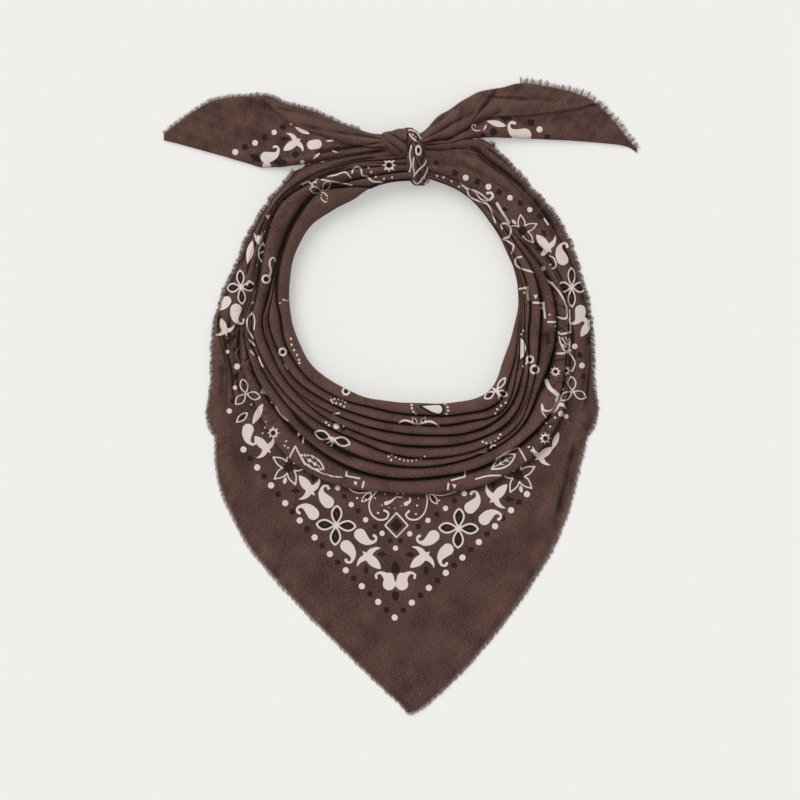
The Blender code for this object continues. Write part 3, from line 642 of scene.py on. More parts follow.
def straight_creases(x, y, creases):
    """Height that straight creases, fading at their ends, add."""
    rise = np.zeros_like(x)
    for *ends, half, height in creases:
        length, t, across = from_line(x, y, *ends)
        wide = half * (0.6 + 0.8 * np.clip(t / length, 0.0, 1.0))
        beyond = np.maximum(np.maximum(-t, t - length), 0.0)
        rise += height * np.exp(-(across / wide) ** 2 - (beyond / (2.5 * half)) ** 2)
    return rise


def tail_surface(table, part, creases, seed):
    """A tail's lower cloth, or the flap folded over it, as sections across X."""
    xs = sorted(row[0] for row in table)
    if part == "flap":
        xs = sorted(row[0] for row in table if row[3] - row[2] > 1.0)
    x = np.arange(xs[0], xs[-1] + TAIL_STEP * 0.5, TAIL_STEP)
    x = np.append(x[:-1], xs[-1])
    row = rows_at(table, x)
    low, fold, high, tall = row[:, 1], row[:, 2], row[:, 3], row[:, 4]
    fold = np.minimum(fold, high)
    if part == "flap":
        start, end = fold + 0.15, high
        crest = tall + FLAP_STEP
        shapes = np.array(FLAP_SHAPE)[None]
    else:
        start, crest = low, tall
        share = np.clip((high - fold) / 5.0, 0.0, 1.0)
        end = np.where(share > 0, fold, high)
        folded, plain = np.array(TAIL_FOLDED), np.array(TAIL_SHAPE)
        shapes = plain + (folded - plain) * share[:, None, None]
    shapes = np.broadcast_to(shapes, (len(x),) + shapes.shape[1:])
    across = shapes[..., 0]
    width = (end - start)[:, None]
    slack = np.minimum(width * (across - 1.0), 1.6)
    y = start[:, None] + np.where(across > 1.0, width + slack, width * across)
    z = crest[:, None] * shapes[..., 1]
    flat_x = np.broadcast_to(x[:, None], y.shape)
    controls = np.stack((flat_x, y, z), axis=2)
    points = spread(controls, 96)
    px, py, pz = points[..., 0], points[..., 1], points[..., 2]
    share = ease(pz, 0.35, 1.6)
    pz = pz + share * straight_creases(px, py, creases)
    pz = pz + share * (0.14 * waver(px, py, 8.0, seed) + 0.22 * waver(px, py, 19.0, seed + 1))
    py = py + 0.35 * share * waver(px, pz, 14.0, seed + 2) * ease(pz, 0.5, 3.0) * (pz < 6.0)
    return np.stack((px, py, np.maximum(pz, 0.3)), axis=2)


def closed_end(points, end):
    """The grid with a wall down to the surface at its first or last section."""
    wall = points[end:][:1].copy()
    wall[..., 2] = SHELL_FOOT
    return np.concatenate((wall, points) if end == 0 else (points, wall))


def lobe_surface():
    """The smooth lobe of the knot, as sections across X, wrung by soft diagonal creases."""
    x = np.linspace(-12.6, 3.6, 74)
    row = rows_at(KNOT_LOBE, np.clip(x, -12.0, 2.8))
    low, high, tall = row[:, 1], row[:, 2], row[:, 3]
    round_off = np.sqrt(np.clip((x + 12.9) / 2.6, 0.0, 1.0))
    middle = (low + high) / 2
    half = (high - low) / 2 * (0.55 + 0.45 * round_off)
    tall = 8.0 + (tall - 8.0) * round_off
    turn = np.linspace(-0.08, 1.08, 92)
    y = middle[:, None] - half[:, None] * np.cos(math.pi * turn)
    z = tall[:, None] * np.sin(math.pi * (0.04 + 0.92 * np.clip(turn, 0.0, 1.0))) ** 0.62
    z = np.where((turn < 0) | (turn > 1), SHELL_FOOT, z)
    uneven = 0.45 + 0.30 * np.sin(y / 1.5) + 0.25 * np.sin(y / 0.62 + 1.0)
    flat_x = x[:, None] + ease(x[:, None], 0.5, 3.6) * uneven
    creases = (
        (-11.5,  162.0,  0.0,    152.0,  1.3,   -1.2),
        (-8.5,   164.5,  3.0,    157.5,  1.5,   -1.1),
        (-11.0,  157.0,  -3.0,   150.0,  1.2,   -1.3),
        (-10.0,  160.2,  1.5,    155.0,  1.4,   1.0),
    )
    z = z + straight_creases(flat_x, y, creases) * ease(z, 4.0, 14.0)
    return np.stack((flat_x, y, z), axis=2)


def band_surface():
    """The band that wraps the knot, as sections across Y, with pleats along it."""
    y = np.linspace(131.6, 167.0, 110)
    row = rows_at(KNOT_BAND, np.clip(y, 131.9, 166.8))
    left, right, tall = row[:, 1], row[:, 2], row[:, 3]
    turn = np.linspace(-0.05, 1.05, 150)
    middle, half = (left + right) / 2, (right - left) / 2
    x = middle[:, None] - half[:, None] * np.cos(math.pi * np.clip(turn, 0.0, 1.0))
    z = tall[:, None] * np.sin(math.pi * (0.05 + 0.90 * np.clip(turn, 0.0, 1.0))) ** 0.6
    z = np.where((turn < 0) | (turn > 1), SHELL_FOOT, z)
    wave = turn[None] * 6.2 + 0.055 * (y[:, None] - 150.0) + 0.25 * np.sin(y[:, None] / 5.5)
    pleats = 1.0 - np.abs(np.sin(math.pi * wave)) ** 0.45
    deep = 1.3 + 0.6 * ease(y[:, None], 140.0, 132.0)
    z = z - deep * pleats * ease(z, 4.0, 14.0)
    flat_y = np.broadcast_to(y[:, None], x.shape)
    x = x + 0.25 * waver(flat_y, z, 9.0, 11)
    return closed_end(closed_end(np.stack((x, flat_y, z), axis=2), 0), -1)


# ---- meshes ------------------------------------------------------------------------------------
def painted_shade_depth(points):
    """How deep each point of a grid lies between its neighbours, for the painted shade: 1 in a narrow valley,
    painted dark, below 0 on a crest, painted lighter.
    """
    total = np.zeros(points.shape[:2])
    for axis in (0, 1):
        count = points.shape[axis]
        for reach in PAINTED_SHADE_REACHES:
            ahead = np.take(points, np.clip(np.arange(count) + reach, 0, count - 1), axis)
            behind = np.take(points, np.clip(np.arange(count) - reach, 0, count - 1), axis)
            over = (ahead[..., 2] + behind[..., 2]) / 2 - points[..., 2]
            span = np.linalg.norm(ahead[..., :2] - behind[..., :2], axis=2)
            total += np.clip(over / np.maximum(span, 1.0), -0.12, 0.45)
    return np.clip(total * 1.5, -0.3, 1.0)


def new_piece(name, points, quads, fields, material, cloth=None):
    """An object on the root body from points in millimetres, with its fields and flat coordinates."""
    mesh = bpy.data.meshes.new(name)
    flat = points.reshape(-1, 3) * MM
    mesh.vertices.add(len(flat))
    mesh.vertices.foreach_set("co", flat.astype(np.float32).ravel())
    mesh.loops.add(quads.size)
    mesh.loops.foreach_set("vertex_index", quads.ravel())
    mesh.polygons.add(len(quads))
    mesh.polygons.foreach_set("loop_start", np.arange(0, quads.size, 4))
    mesh.update(calc_edges=True)
    if cloth is not None:
        layer = mesh.uv_layers.new(name="cloth")
        layer.uv.foreach_set("vector", cloth[quads.ravel()].astype(np.float32).ravel())
    for key, values in fields.items():
        field = mesh.attributes.new(key, "FLOAT", "POINT")
        field.data.foreach_set("value", values.ravel().astype(np.float32))
    mesh.materials.append(material)
    mesh.validate()
    mesh.shade_smooth()
    piece = bpy.data.objects.new(name, mesh)
    bpy.context.scene.collection.objects.link(piece)
    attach(piece, "root")
    return piece


def grid_mesh(name, points, material, marks):
    """A piece of cloth from a grid of points, its upper side out, with its print distances and the depth
    field that paints shade in its valleys and highlight on its crests.
    """
    ahead, across = points[1:, :-1] - points[:-1, :-1], points[:-1, 1:] - points[:-1, :-1]
    if np.cross(across, ahead)[..., 2].sum() < 0:
        points = points[::-1]
        marks = {key: values[::-1] for key, values in marks.items()}
    rows, columns = points.shape[:2]
    index = np.arange(rows * columns).reshape(rows, columns)
    quads = np.stack((index[:-1, :-1], index[:-1, 1:], index[1:, 1:], index[1:, :-1]), axis=-1)
    # The depth field for the painted shade and highlight goes with the print's fields.
    fields = {**marks, "painted_shade_and_highlight": painted_shade_depth(points)}
    cloth = arc_coordinates(points).reshape(-1, 2) * MM
    return new_piece(name, points, quads.reshape(-1, 4), fields, material, cloth)


# ---- materials ---------------------------------------------------------------------------------
COTTON_DARK, COTTON_LIGHT = (0.026, 0.0105, 0.0085), (0.150, 0.080, 0.066)
THREAD_DARK, THREAD_PALE = (0.078, 0.046, 0.039), (0.42, 0.31, 0.265)
INKS = {"black": (0.013, 0.010, 0.010), "white": (0.73, 0.645, 0.595)}
THREAD_SCALE, CLOUD_SCALE = (800.0, 2300.0, 1.0), (55.0, 55.0, 1.0)
FLOOR_COLOUR, FLOOR_GLOW = (0.58, 0.577, 0.563), 0.52


def add_node(tree, kind, inputs=(), **settings):
    """A shader node with its settings, then its inputs, each a value or another node's output."""
    node = tree.nodes.new(kind)
    for key, value in settings.items():
        setattr(node, key, value)
    for socket, value in dict(inputs).items():
        if isinstance(value, bpy.types.NodeSocket):
            tree.links.new(value, node.inputs[socket])
        else:
            node.inputs[socket].default_value = value
    return node


def new_material(name, roughness, sheen, tint):
    material = bpy.data.materials.new(name)
    material.use_nodes = True
    tree = material.node_tree
    shader = tree.nodes["Principled BSDF"]
    shader.inputs["Roughness"].default_value = roughness
    shader.inputs["Metallic"].default_value = 0.0
    shader.inputs["Specular IOR Level"].default_value = 0.18
    shader.inputs["Sheen Weight"].default_value = sheen
    shader.inputs["Sheen Roughness"].default_value = 0.45
    shader.inputs["Sheen Tint"].default_value = (*tint, 1.0)
    return material, tree, shader


def streaks(tree, uv, turn, stretch, detail):
    """Noise stretched along a direction of the cloth."""
    place = {"Vector": uv, "Rotation": (0.0, 0.0, math.radians(turn)), "Scale": stretch}
    vector = add_node(tree, "ShaderNodeMapping", place).outputs[0]
    noise = add_node(tree, "ShaderNodeTexNoise", {"Vector": vector, "Scale": 1.0, "Detail": detail})
    return noise.outputs["Fac"]


def field_value(tree, name):
    return add_node(tree, "ShaderNodeAttribute", attribute_name=name).outputs["Fac"]


def combined(tree, operation, *values):
    return add_node(tree, "ShaderNodeMath", dict(enumerate(values)), operation=operation).outputs[0]


def ranged(tree, value, start, end, first, last, **settings):
    """The value, moved from one range to another."""
    inputs = {"Value": value, "From Min": start, "From Max": end, "To Min": first, "To Max": last}
    return add_node(tree, "ShaderNodeMapRange", inputs, **settings).outputs[0]


def blended(tree, share, first, second):
    """A mix of two colours, where the first may be another node's output."""
    first = first if isinstance(first, bpy.types.NodeSocket) else (*first, 1.0)
    inputs = {0: share, 6: first, 7: (*second, 1.0)}
    return add_node(tree, "ShaderNodeMix", inputs, data_type="RGBA").outputs[2]


def cotton():
    """Brushed melange cotton: fine uneven threads, a soft weave, painted shade in the folds' valleys and a
    painted highlight on their crests, and the print's two inks.
    """
    material, tree, shader = new_material("printed_cotton", 0.88, 0.14, (0.80, 0.60, 0.52))
    uv = add_node(tree, "ShaderNodeUVMap", uv_map="cloth").outputs[0]
    warp = streaks(tree, uv, 45.0, THREAD_SCALE, 2.0)
    weft = streaks(tree, uv, -45.0, THREAD_SCALE, 2.0)
    both = combined(tree, "ADD", warp, weft)
    cloudy = streaks(tree, uv, 0.0, CLOUD_SCALE, 3.0)
    tone = ranged(tree, combined(tree, "MULTIPLY_ADD", cloudy, 0.55, both), 0.98, 1.56, 0.0, 1.0)
    colour = blended(tree, tone, COTTON_DARK, COTTON_LIGHT)
    # Painted shade and highlight: the cloth's colour is scaled down to about a quarter in deep valleys and up
    # a little on crests; the inks go on after it, unshaded.
    painted_shading = ranged(tree, field_value(tree, "painted_shade_and_highlight"), -0.3, 0.85, 1.14, 0.24)
    scaled = {0: colour, "Scale": painted_shading}
    colour = add_node(tree, "ShaderNodeVectorMath", scaled, operation="SCALE").outputs[0]
    for key, ink in INKS.items():
        rough = combined(tree, "MULTIPLY_ADD", warp, 0.16, field_value(tree, key))
        cover = ranged(tree, rough, -0.06, 0.20, 0.94, 0.0, interpolation_type="SMOOTHSTEP")
        colour = blended(tree, cover, colour, ink)
    tree.links.new(colour, shader.inputs["Base Color"])
    weave = {"Strength": 0.35, "Distance": 0.00022, "Height": both}
    bump = add_node(tree, "ShaderNodeBump", weave)
    tree.links.new(bump.outputs[0], shader.inputs["Normal"])
    return material


def thread_material():
    """Frayed threads: the cloth's brown, lighter and greyer towards their ends."""
    material, tree, shader = new_material("frayed_threads", 0.92, 0.12, (0.85, 0.74, 0.68))
    colour = blended(tree, field_value(tree, "pale"), THREAD_DARK, THREAD_PALE)
    tree.links.new(colour, shader.inputs["Base Color"])
    return material


def lit_material(name, colour, glow):
    """A matt surface that is lit a little from below."""
    material, _, shader = new_material(name, 0.9, 0.0, (1.0, 1.0, 1.0))
    shader.inputs["Base Color"].default_value = (*colour, 1.0)
    shader.inputs["Emission Color"].default_value = (*colour, 1.0)
    shader.inputs["Emission Strength"].default_value = glow
    return material


# ---- frayed threads ----------------------------------------------------------------------------
def threads_mesh(name, line, away, tip_z, length, pitch, neat, paleness, seed, material):
    """Many short threads along an edge: points in millimetres with the direction away from the cloth."""
    rng = np.random.default_rng(seed)
    run = np.concatenate(([0.0], np.cumsum(np.linalg.norm(np.diff(line[:, :2], axis=0), axis=1))))
    count = int(run[-1] / pitch)
    at = np.sort((np.arange(count) + rng.uniform(0.1, 0.9, count)) * run[-1] / count)
    base = np.stack([np.interp(at, run, line[:, k]) for k in range(3)], axis=1)
    out = np.stack([np.interp(at, run, away[:, k]) for k in range(2)], axis=1)
    out /= np.linalg.norm(out, axis=1)[:, None]
    side = np.stack((-out[:, 1], out[:, 0]), axis=1)
    tuft = np.sin(at * 2 * math.pi / 4.3 + 1.3 * np.sin(at / 6.1)) * 0.30
    lean = neat * (tuft + rng.normal(0.0, 0.13, count))
    ragged = 0.22 * np.sin(at / 7.3 + seed) * np.sin(at / 2.9) + rng.normal(0.0, 0.17, count)
    reach = length * np.clip(0.80 + neat * ragged, 0.25, 1.25)
    curl = neat * rng.normal(0.0, 0.20, count)
    arch = rng.uniform(0.2, 1.0, count)
    spots = []
    for t in (0.0, 0.33, 0.68, 1.0):
        ahead = reach * t - 0.7 * (1 - t)
        sway = reach * (lean * t + curl * t * t * 0.6)
        plan = base[:, :2] + out * ahead[:, None] + side * sway[:, None]
        z = base[:, 2] * (1 - t) + tip_z * t + arch * 1.1 * t * (1 - t)
        spots.append(np.column_stack((plan, np.maximum(z, 0.25))))
    spots = np.stack(spots, axis=1)
    thick = rng.uniform(0.12, 0.19, count)[:, None] * np.array((1.0, 0.95, 0.8, 0.45))
    ring = []
    for turn in (90.0, 210.0, 330.0):
        c, s = math.cos(math.radians(turn)), math.sin(math.radians(turn))
        offset = np.column_stack((side * c, np.full(count, s)))[:, None, :]
        ring.append(spots + offset * thick[:, :, None])
    first = np.arange(count)[:, None, None] * 12
    corner = first + np.arange(3)[None, :, None] * 3 + np.arange(3)
    after = first + np.arange(3)[None, :, None] * 3 + (np.arange(3) + 1) % 3
    quads = np.stack((corner, after, after + 3, corner + 3), axis=-1).reshape(-1, 4)
    along = np.array((0.15, 0.55, 0.85, 1.0))[None, :, None]
    tone = paleness * (0.2 + 0.85 * rng.uniform(0.15, 0.9, count)[:, None, None] * along)
    fields = {"pale": np.broadcast_to(tone, (count, 4, 3))}
    return new_piece(name, np.stack(ring, axis=2), quads, fields, material)


def outer_row(points):
    """The frayed edge of a grid made by with_rim, and the direction away from the cloth there."""
    line = points[:, -4]
    away = line[:, :2] - points[:, -9, :2]
    return line, away / np.maximum(np.linalg.norm(away, axis=1), 1e-6)[:, None]


def edge_row(table, z, first):
    """A tail's frayed edge, from its table, and the direction away from the cloth there."""
    rows = np.array(table)[first:]
    line = smooth_line(np.column_stack((rows[:, 0], rows[:, 3] - 0.4)), 8 * len(rows))
    ahead = np.gradient(line, axis=0)
    ahead /= np.linalg.norm(ahead, axis=1)[:, None]
    away = np.stack((-ahead[:, 1], ahead[:, 0]), axis=1)
    if away[:, 1].sum() < 0:
        away = -away
    return np.column_stack((line, np.full(len(line), z))), away


# ---- print -------------------------------------------------------------------------------------
def stroke(x, y, rows):
    """Signed distance to a stroke through rows of x, y and radius."""
    rows = np.asarray(rows, dtype=float)
    if len(rows) == 1:
        return np.hypot(x - rows[0, 0], y - rows[0, 1]) - rows[0, 2]
    best = np.full(x.shape, FAR)
    for (x0, y0, r0), (x1, y1, r1) in zip(rows[:-1], rows[1:]):
        t, away = to_segment(x, y, x0, y0, x1, y1)
        best = np.minimum(best, away - (r0 + (r1 - r0) * t))
    return best


def polygon(x, y, corners):
    """Signed distance to a filled polygon."""
    corners = np.asarray(corners, dtype=float)
    best, inside = np.full(x.shape, FAR), np.zeros(x.shape, dtype=bool)
    for (x0, y0), (x1, y1) in zip(corners, np.roll(corners, -1, axis=0)):
        best = np.minimum(best, to_segment(x, y, x0, y0, x1, y1)[1])
        if y0 != y1:
            inside ^= ((y0 > y) != (y1 > y)) & (x < (x1 - x0) * (y - y0) / (y1 - y0) + x0)
    return np.where(inside, -best, best)


def lens(start, end, half, turn, skew=1.12, blunt=0.85):
    """Corners of a petal from start to end along a direction: widest further out with more skew."""
    t = np.linspace(0.0, 1.0, 13)
    wide = half * np.sin(math.pi * t ** skew) ** blunt
    side = np.column_stack((start + (end - start) * t, wide))
    both = np.concatenate((side, side[-2:0:-1] * (1.0, -1.0)))
    c, s = math.cos(math.radians(turn)), math.sin(math.radians(turn))
    return np.column_stack((both[:, 0] * c - both[:, 1] * s, both[:, 0] * s + both[:, 1] * c))


def outline(corners, radius):
    """A closed stroke of one radius through corners."""
    closed = np.concatenate((corners, corners[:1]))
    return np.column_stack((closed, np.full(len(closed), radius)))


def curved(rows, steps=5):
    """A stroke's rows made smooth."""
    return smooth_line(rows, steps * (len(rows) - 1) + 1)


def petals(count, start, end, half, first=0.0, thick=0.5, fill=True, skew=1.12, blunt=0.85):
    """Outlined petals round a middle, filled with black or left as cloth."""
    parts = []
    for k in range(count):
        turn = first + 360.0 * k / count
        parts.append(("white", stroke, outline(lens(start, end, half, turn, skew, blunt), thick)))
        if fill:
            core = lens(start + 2.2, end - 2.3, half - 1.65, turn, skew, blunt)
            parts.append(("black", stroke, outline(core, 0.95)))
    return parts


def star(points, outer, inner, first=0.0):
    """Corners of a star."""
    corners = []
    for k in range(2 * points):
        a = math.radians(first + 180.0 * k / points)
        r = inner if k % 2 else outer
        corners.append((r * math.cos(a), r * math.sin(a)))
    return corners


def box(half_x, half_y):
    return ((-half_x, -half_y), (half_x, -half_y), (half_x, half_y), (-half_x, half_y))


# Each motif, in millimetres round its own middle: ink, kind of shape, and its rows or corners.


def line(*rows):
    """A white stroke through rows of x, y and radius."""
    return ("white", stroke, rows)


def dark(*rows):
    return ("black", stroke, rows)


def bent(*rows):
    return line(*curved(rows))


def filled(corners, ink="white"):
    return (ink, polygon, corners)


def ringed(corners, radius):
    return line(*outline(np.array(corners), radius))


def circle(radius):
    return [(radius * math.cos(a), radius * math.sin(a)) for a in np.linspace(0, 5.9, 16)]


LILY_PETAL = ((3.9, -36), (6.4, -23), (8.4, -12.5), (11.6, 0), (8.4, 12.5), (6.4, 23))
LILY = [
    (r * math.cos(math.radians(72 * k + 12 + a)), r * math.sin(math.radians(72 * k + 12 + a)))
    for k in range(5) for r, a in LILY_PETAL
]

# Each motif, in millimetres round its own middle: ink, measure of distance, and its rows or corners.
MOTIFS = {
    "dot": [line((0, 0, 1.95))],
    "bead": [line((0, 0, 1.15))],
    "seed": [line((0, 0, 0.72))],
    "pip": [dark((0, 0, 1.3))],
    "square": [filled(box(1.65, 1.65), "black")],
    "square_eye": [filled(box(2, 1.7))],
    "tick": [line((-2.2, 0, 0.5), (2.2, 0, 0.5))],
    "oval": [line((-1.7, 0, 2.9), (1.7, 0, 2.9))],
    "paisley": [bent(
        (3.3, -1, 3.7), (0.2, -1.2, 3.2), (-3.2, -0.5, 2), (-5.3, 1.4, 1.05), (-5.9, 3.6, 0.75),
        (-4.6, 5.3, 0.7), (-3, 5, 0.95),
    )],
    "tulip": [
        bent((1.4, 0, 2), (-3, 0.3, 2.9), (-6.8, 0.6, 1.8), (-9.6, 0.8, 0.2)),
        bent((1.4, 0.2, 2.1), (2.3, 3.6, 1.7), (1.6, 7, 0.95), (-0.4, 9.9, 0.1)),
        bent((1.4, -0.2, 2.1), (2.6, -3.6, 1.6), (2.3, -6.8, 0.9), (0.9, -9.6, 0.1)),
        line((2, 0, 1.7), (5.6, -0.3, 0.35)),
    ],
    "spur": [
        dark(*curved(((-3.2, 0, 0.15), (-0.8, 0.1, 1.25), (1.2, 0, 1.1), (3, -0.2, 0.15)))),
        dark((-0.2, -2.2, 0.25), (0.3, 0, 0.8), (-0.2, 2.2, 0.25)),
    ],
    "quatrefoil": petals(4, 0.9, 12.1, 3.0, thick=0.55, skew=1.25, blunt=0.72) + [line((0, 0, 1.45))],
    "trefoil": petals(3, 0.6, 10.5, 2.7, first=-90.0, thick=0.48, fill=False),
    "lily": [
        ringed(LILY, 0.42),
        filled(star(7, 4.3, 2.4, 20.0), "black"),
        filled(lens(6.2, 11, 1.15, 49)),
        filled(lens(6.2, 11, 1.15, 193)),
    ],
    "sun": [ringed(circle(2.25), 0.5), dark((0, 0, 1.5))] + [
        line((2.4 * math.cos(a), 2.4 * math.sin(a), 0.75), (4.3 * math.cos(a), 4.3 * math.sin(a), 0.15))
        for a in np.radians(np.arange(0.0, 360.0, 45.0))
    ],
    "leaf": [filled(lens(-6.5, 6.5, 1.9, 0))],
    "sliver": [filled(lens(-4.5, 4.5, 0.9, 0))],
    "open_leaf": [ringed(lens(-7.5, 7.5, 3, 0), 0.42), line((-6.5, 0, 0.3), (5, 0, 0.25))] + [
        line((x, 0, 0.25), (end, rise * side, 0.2))
        for x, end, rise in ((-2.5, -0.4, 1.7), (1, 2.8, 1.5)) for side in (1, -1)
    ],
    "dark_leaf": [ringed(lens(-4.6, 4.6, 2, 0), 0.42), filled(lens(-3.2, 3.2, 1.1, 0), "black")],
    "butterfly": [ringed(lens(1, 10.8, 2.5, turn), 0.5) for turn in (2, 178)] + [
        filled(lens(2.2, 9.6, 1.75, turn), "black") for turn in (2, 178)
    ] + [
        line((0, 0, 1.2)),
        bent((0, 0, 0.9), (-0.6, -2, 0.6), (-2.2, -3.4, 0.35)),
        bent((0, 0, 0.9), (1, -2.2, 0.6), (0.6, -4.4, 0.35)),
        dark((-1.6, -3, 1.5), (1.4, -3.6, 1.2)),
    ],
    "diamond": [
        ringed(((-7.1, 0), (0, -7.4), (7.1, 0), (0, 7.8)), 0.5),
        filled(((-3.9, 0), (0, -4.2), (3.9, 0), (0, 4.6)), "black"),
    ],
    "drop": [dark((0, -0.6, 2.75), (0, 1.6, 1.9), (0, 4.2, 0.2))],
    "ring": [ringed(circle(2.1), 0.62), dark((0, 0, 1.6))],
    "ring_hook": [
        ringed(circle(2.4), 0.62),
        dark((0, 0, 1.8)),
        bent((1.9, 1.6, 0.7), (3.2, 5.4, 0.65), (2.2, 9.7, 0.6), (2.9, 12.9, 0.55), (4.8, 14, 0.5),
             (6.1, 11.8, 0.5)),
    ],
    "arc": [line((x, 0.035 * x * x, 0.55)) for x in np.arange(-9.0, 9.1, 2.25)],
    "curl": [bent(
        (-5.5, 1.5, 0.35), (-2.5, 3.2, 0.5), (1.5, 2.8, 0.55), (4, 0.4, 0.55), (3.2, -2.4, 0.5),
        (0.8, -2.6, 0.5), (0.4, -0.9, 0.55),
    )],
    "tear": [
        dark((3, -0.2, 3.3), (-0.5, 0.2, 2.9), (-6.4, 0.8, 1)),
        line((2.8, -0.3, 2.3), (0, 0, 1.8), (-5.4, 0.9, 0.2)),
    ],
    "fork": [filled((
        (-3, 4.4), (-1.2, 1), (0, 2), (1.6, 1.2), (3.4, 4.6), (2.4, -1.2), (0.4, -4.8), (-1.8, -1.6),
    ))],
    "heart": [filled(((-1.5, 1.2), (0, 0.7), (1.5, 1.2), (0, -2)))],
    "half_leaf": [
        filled(((-2.4, 8), (1.4, 5.4), (3.2, 0), (1.4, -6.2), (-2.4, -8.6)), "black"),
        filled(((-1.8, 6.8), (0.7, 4.4), (2, 0), (0.4, -5), (-1.8, -7))),
    ],
    "rim_sprig": [
        ringed(lens(1, 9.6, 1.5, 54), 0.45),
        ringed(lens(1.4, 8.6, 1.9, 214), 0.45),
        filled(lens(2.4, 8, 1.3, 214), "black"),
        ringed(lens(1.2, 7.4, 1.8, -24), 0.45),
        filled(lens(2.2, 6.6, 1.2, -24), "black"),
        bent((0, 0, 0.8), (1.6, -3, 0.5), (1.8, -6, 0.35)),
        bent((0, 0, 0.8), (-2.4, 1.8, 0.5), (-3.4, 4, 0.35)),
    ],
}


UNPRINTED = 5.0                     # distance that stands for no print near
MOTIF_REACH = 15.5


class Print:
    """The print on a grid of points: signed distances, in millimetres, to its white and black shapes."""

    def __init__(self, points):
        self.x, self.y = points[..., 0], points[..., 1]
        self.fields = {ink: np.full(self.x.shape, UNPRINTED) for ink in ("white", "black")}

    def stamp(self, motif, middle, turn=0.0, size=1.0, mask=True):
        """Add a motif: its middle and turn in plan, and its size, below 0 where it is mirrored."""
        wide, tall = size if isinstance(size, tuple) else (size, size)
        scale = (abs(wide), abs(tall))
        reach = MOTIF_REACH * max(scale)
        near = (np.abs(self.x - middle[0]) < reach) & (np.abs(self.y - middle[1]) < reach) & mask
        if not near.any():
            return
        c, s = math.cos(math.radians(turn)), math.sin(math.radians(turn))
        dx, dy = self.x[near] - middle[0], self.y[near] - middle[1]
        along, across = (dx * c + dy * s) / wide, (dy * c - dx * s) / tall
        for ink, measure, rows in MOTIFS[motif]:
            distance = measure(along, across, rows) * min(scale)
            self.fields[ink][near] = np.minimum(self.fields[ink][near], distance)

    def draw(self, rows, mask=True, ink="white"):
        """Add a free stroke, in plan."""
        rows = np.asarray(rows, dtype=float)
        margin = rows[:, 2].max() + 1.0
        low, high = rows[:, :2].min(axis=0) - margin, rows[:, :2].max(axis=0) + margin
        near = (self.x > low[0]) & (self.x < high[0]) & (self.y > low[1]) & (self.y < high[1]) & mask
        distance = stroke(self.x[near], self.y[near], rows)
        self.fields[ink][near] = np.minimum(self.fields[ink][near], distance)

    def marks(self, marks, mask=True):
        for motif, *places in marks:
            for px, py, *how in places:
                self.stamp(motif, from_photo(px, py), *how, mask=mask)

    def lines(self, lines, mask=True, ink="white"):
        for radius, *spots in lines:
            for line_spots in spots:
                rows = [(*from_photo(px, py), radius * LINE_WEIGHT) for px, py in line_spots]
                self.draw(curved(rows), mask, ink)

    def border(self):
        """Add the two arms of motifs and dots that meet over the bib's tip."""
        for arm, side in (("left", -1), ("right", 1)):
            for motif, *places, turn, flips in ARM_MOTIFS:
                s, d = places[:2] if arm == "left" else places[2:]
                flips = (flips[0], flips[1] * side)
                self.stamp(motif, arm_point(arm, s, d), ARM_TURN[arm] + side * turn, flips)
            bow, span = ARM_BOW[arm]
            for k in range(0 if arm == "left" else 1, 2 * ARM_DOTS[arm] - 1):
                s = k * DOT_PITCH / 2
                middle = arm_point(arm, s, bow * math.sin(math.pi * s / span))
                self.stamp("square" if k % 2 else "dot", middle, 3.0)


# The border: two arms from a corner, with the distance along an arm and inward from its dots.
CORNER = (-3.3, -135.9)
ARM_TURN = {"left": 132.0, "right": 43.0}
DOT_PITCH = 14.0
ARM_MOTIFS = (
    # motif, along and inward on the left arm and on the right one, turn, mirrored
    ("tulip", 37.8, 12.9, 37.8, 15.2, 0, (1, 1)),
    ("spur", 34.4, 20.2, 33.6, 22, -45, (1, 1)),
    ("spur", 34, 6.6, 34, 8, 45, (1, 1)),
    ("paisley", 49.6, 6.3, 49.4, 7.4, 0, (1, -1)),
    ("paisley", 49.2, 19.4, 48.7, 21.4, 0, (1, 1)),
    ("quatrefoil", 66.7, 11.2, 66.6, 13.4, 45, (1, 1)),
    ("paisley", 84.7, 4.4, 85.5, 5.6, 0, (-1, -1)),
    ("paisley", 83.9, 18.1, 83.9, 18.8, 0, (-1, 1)),
    ("tulip", 95.3, 14, 97.4, 12, 0, (-1, 1)),
    ("spur", 98.2, 20.6, 100.8, 18.6, 45, (1, 1)),
    ("spur", 99.3, 6.8, 101.6, 5.2, -45, (1, 1)),
    ("lily", 113, 13.5, 116, 12.1, 45, (1, 1)),
)
ARM_BOW = {"left": (-3.7, 140.0), "right": (-1.5, 112.0)}   # sag of the dotted line, and its length
ARM_DOTS = {"left": 11, "right": 9}
INNER_DOTS = (
    (-2.8, -93), (-11.1, -83.8), (6, -84.1), (-21.3, -75.4), (17.3, -75.8), (-30.2, -66), (28.2, -68.3),
    (-38.6, -55.7), (39.8, -59.2),
)
INNER_SQUARES = (
    (-5.9, -88.4), (0.3, -88.4), (-15.4, -79.6), (11.3, -79.6), (-26, -69.8), (22.8, -72.1), (-34.4, -61),
    (33.8, -63.7),
)

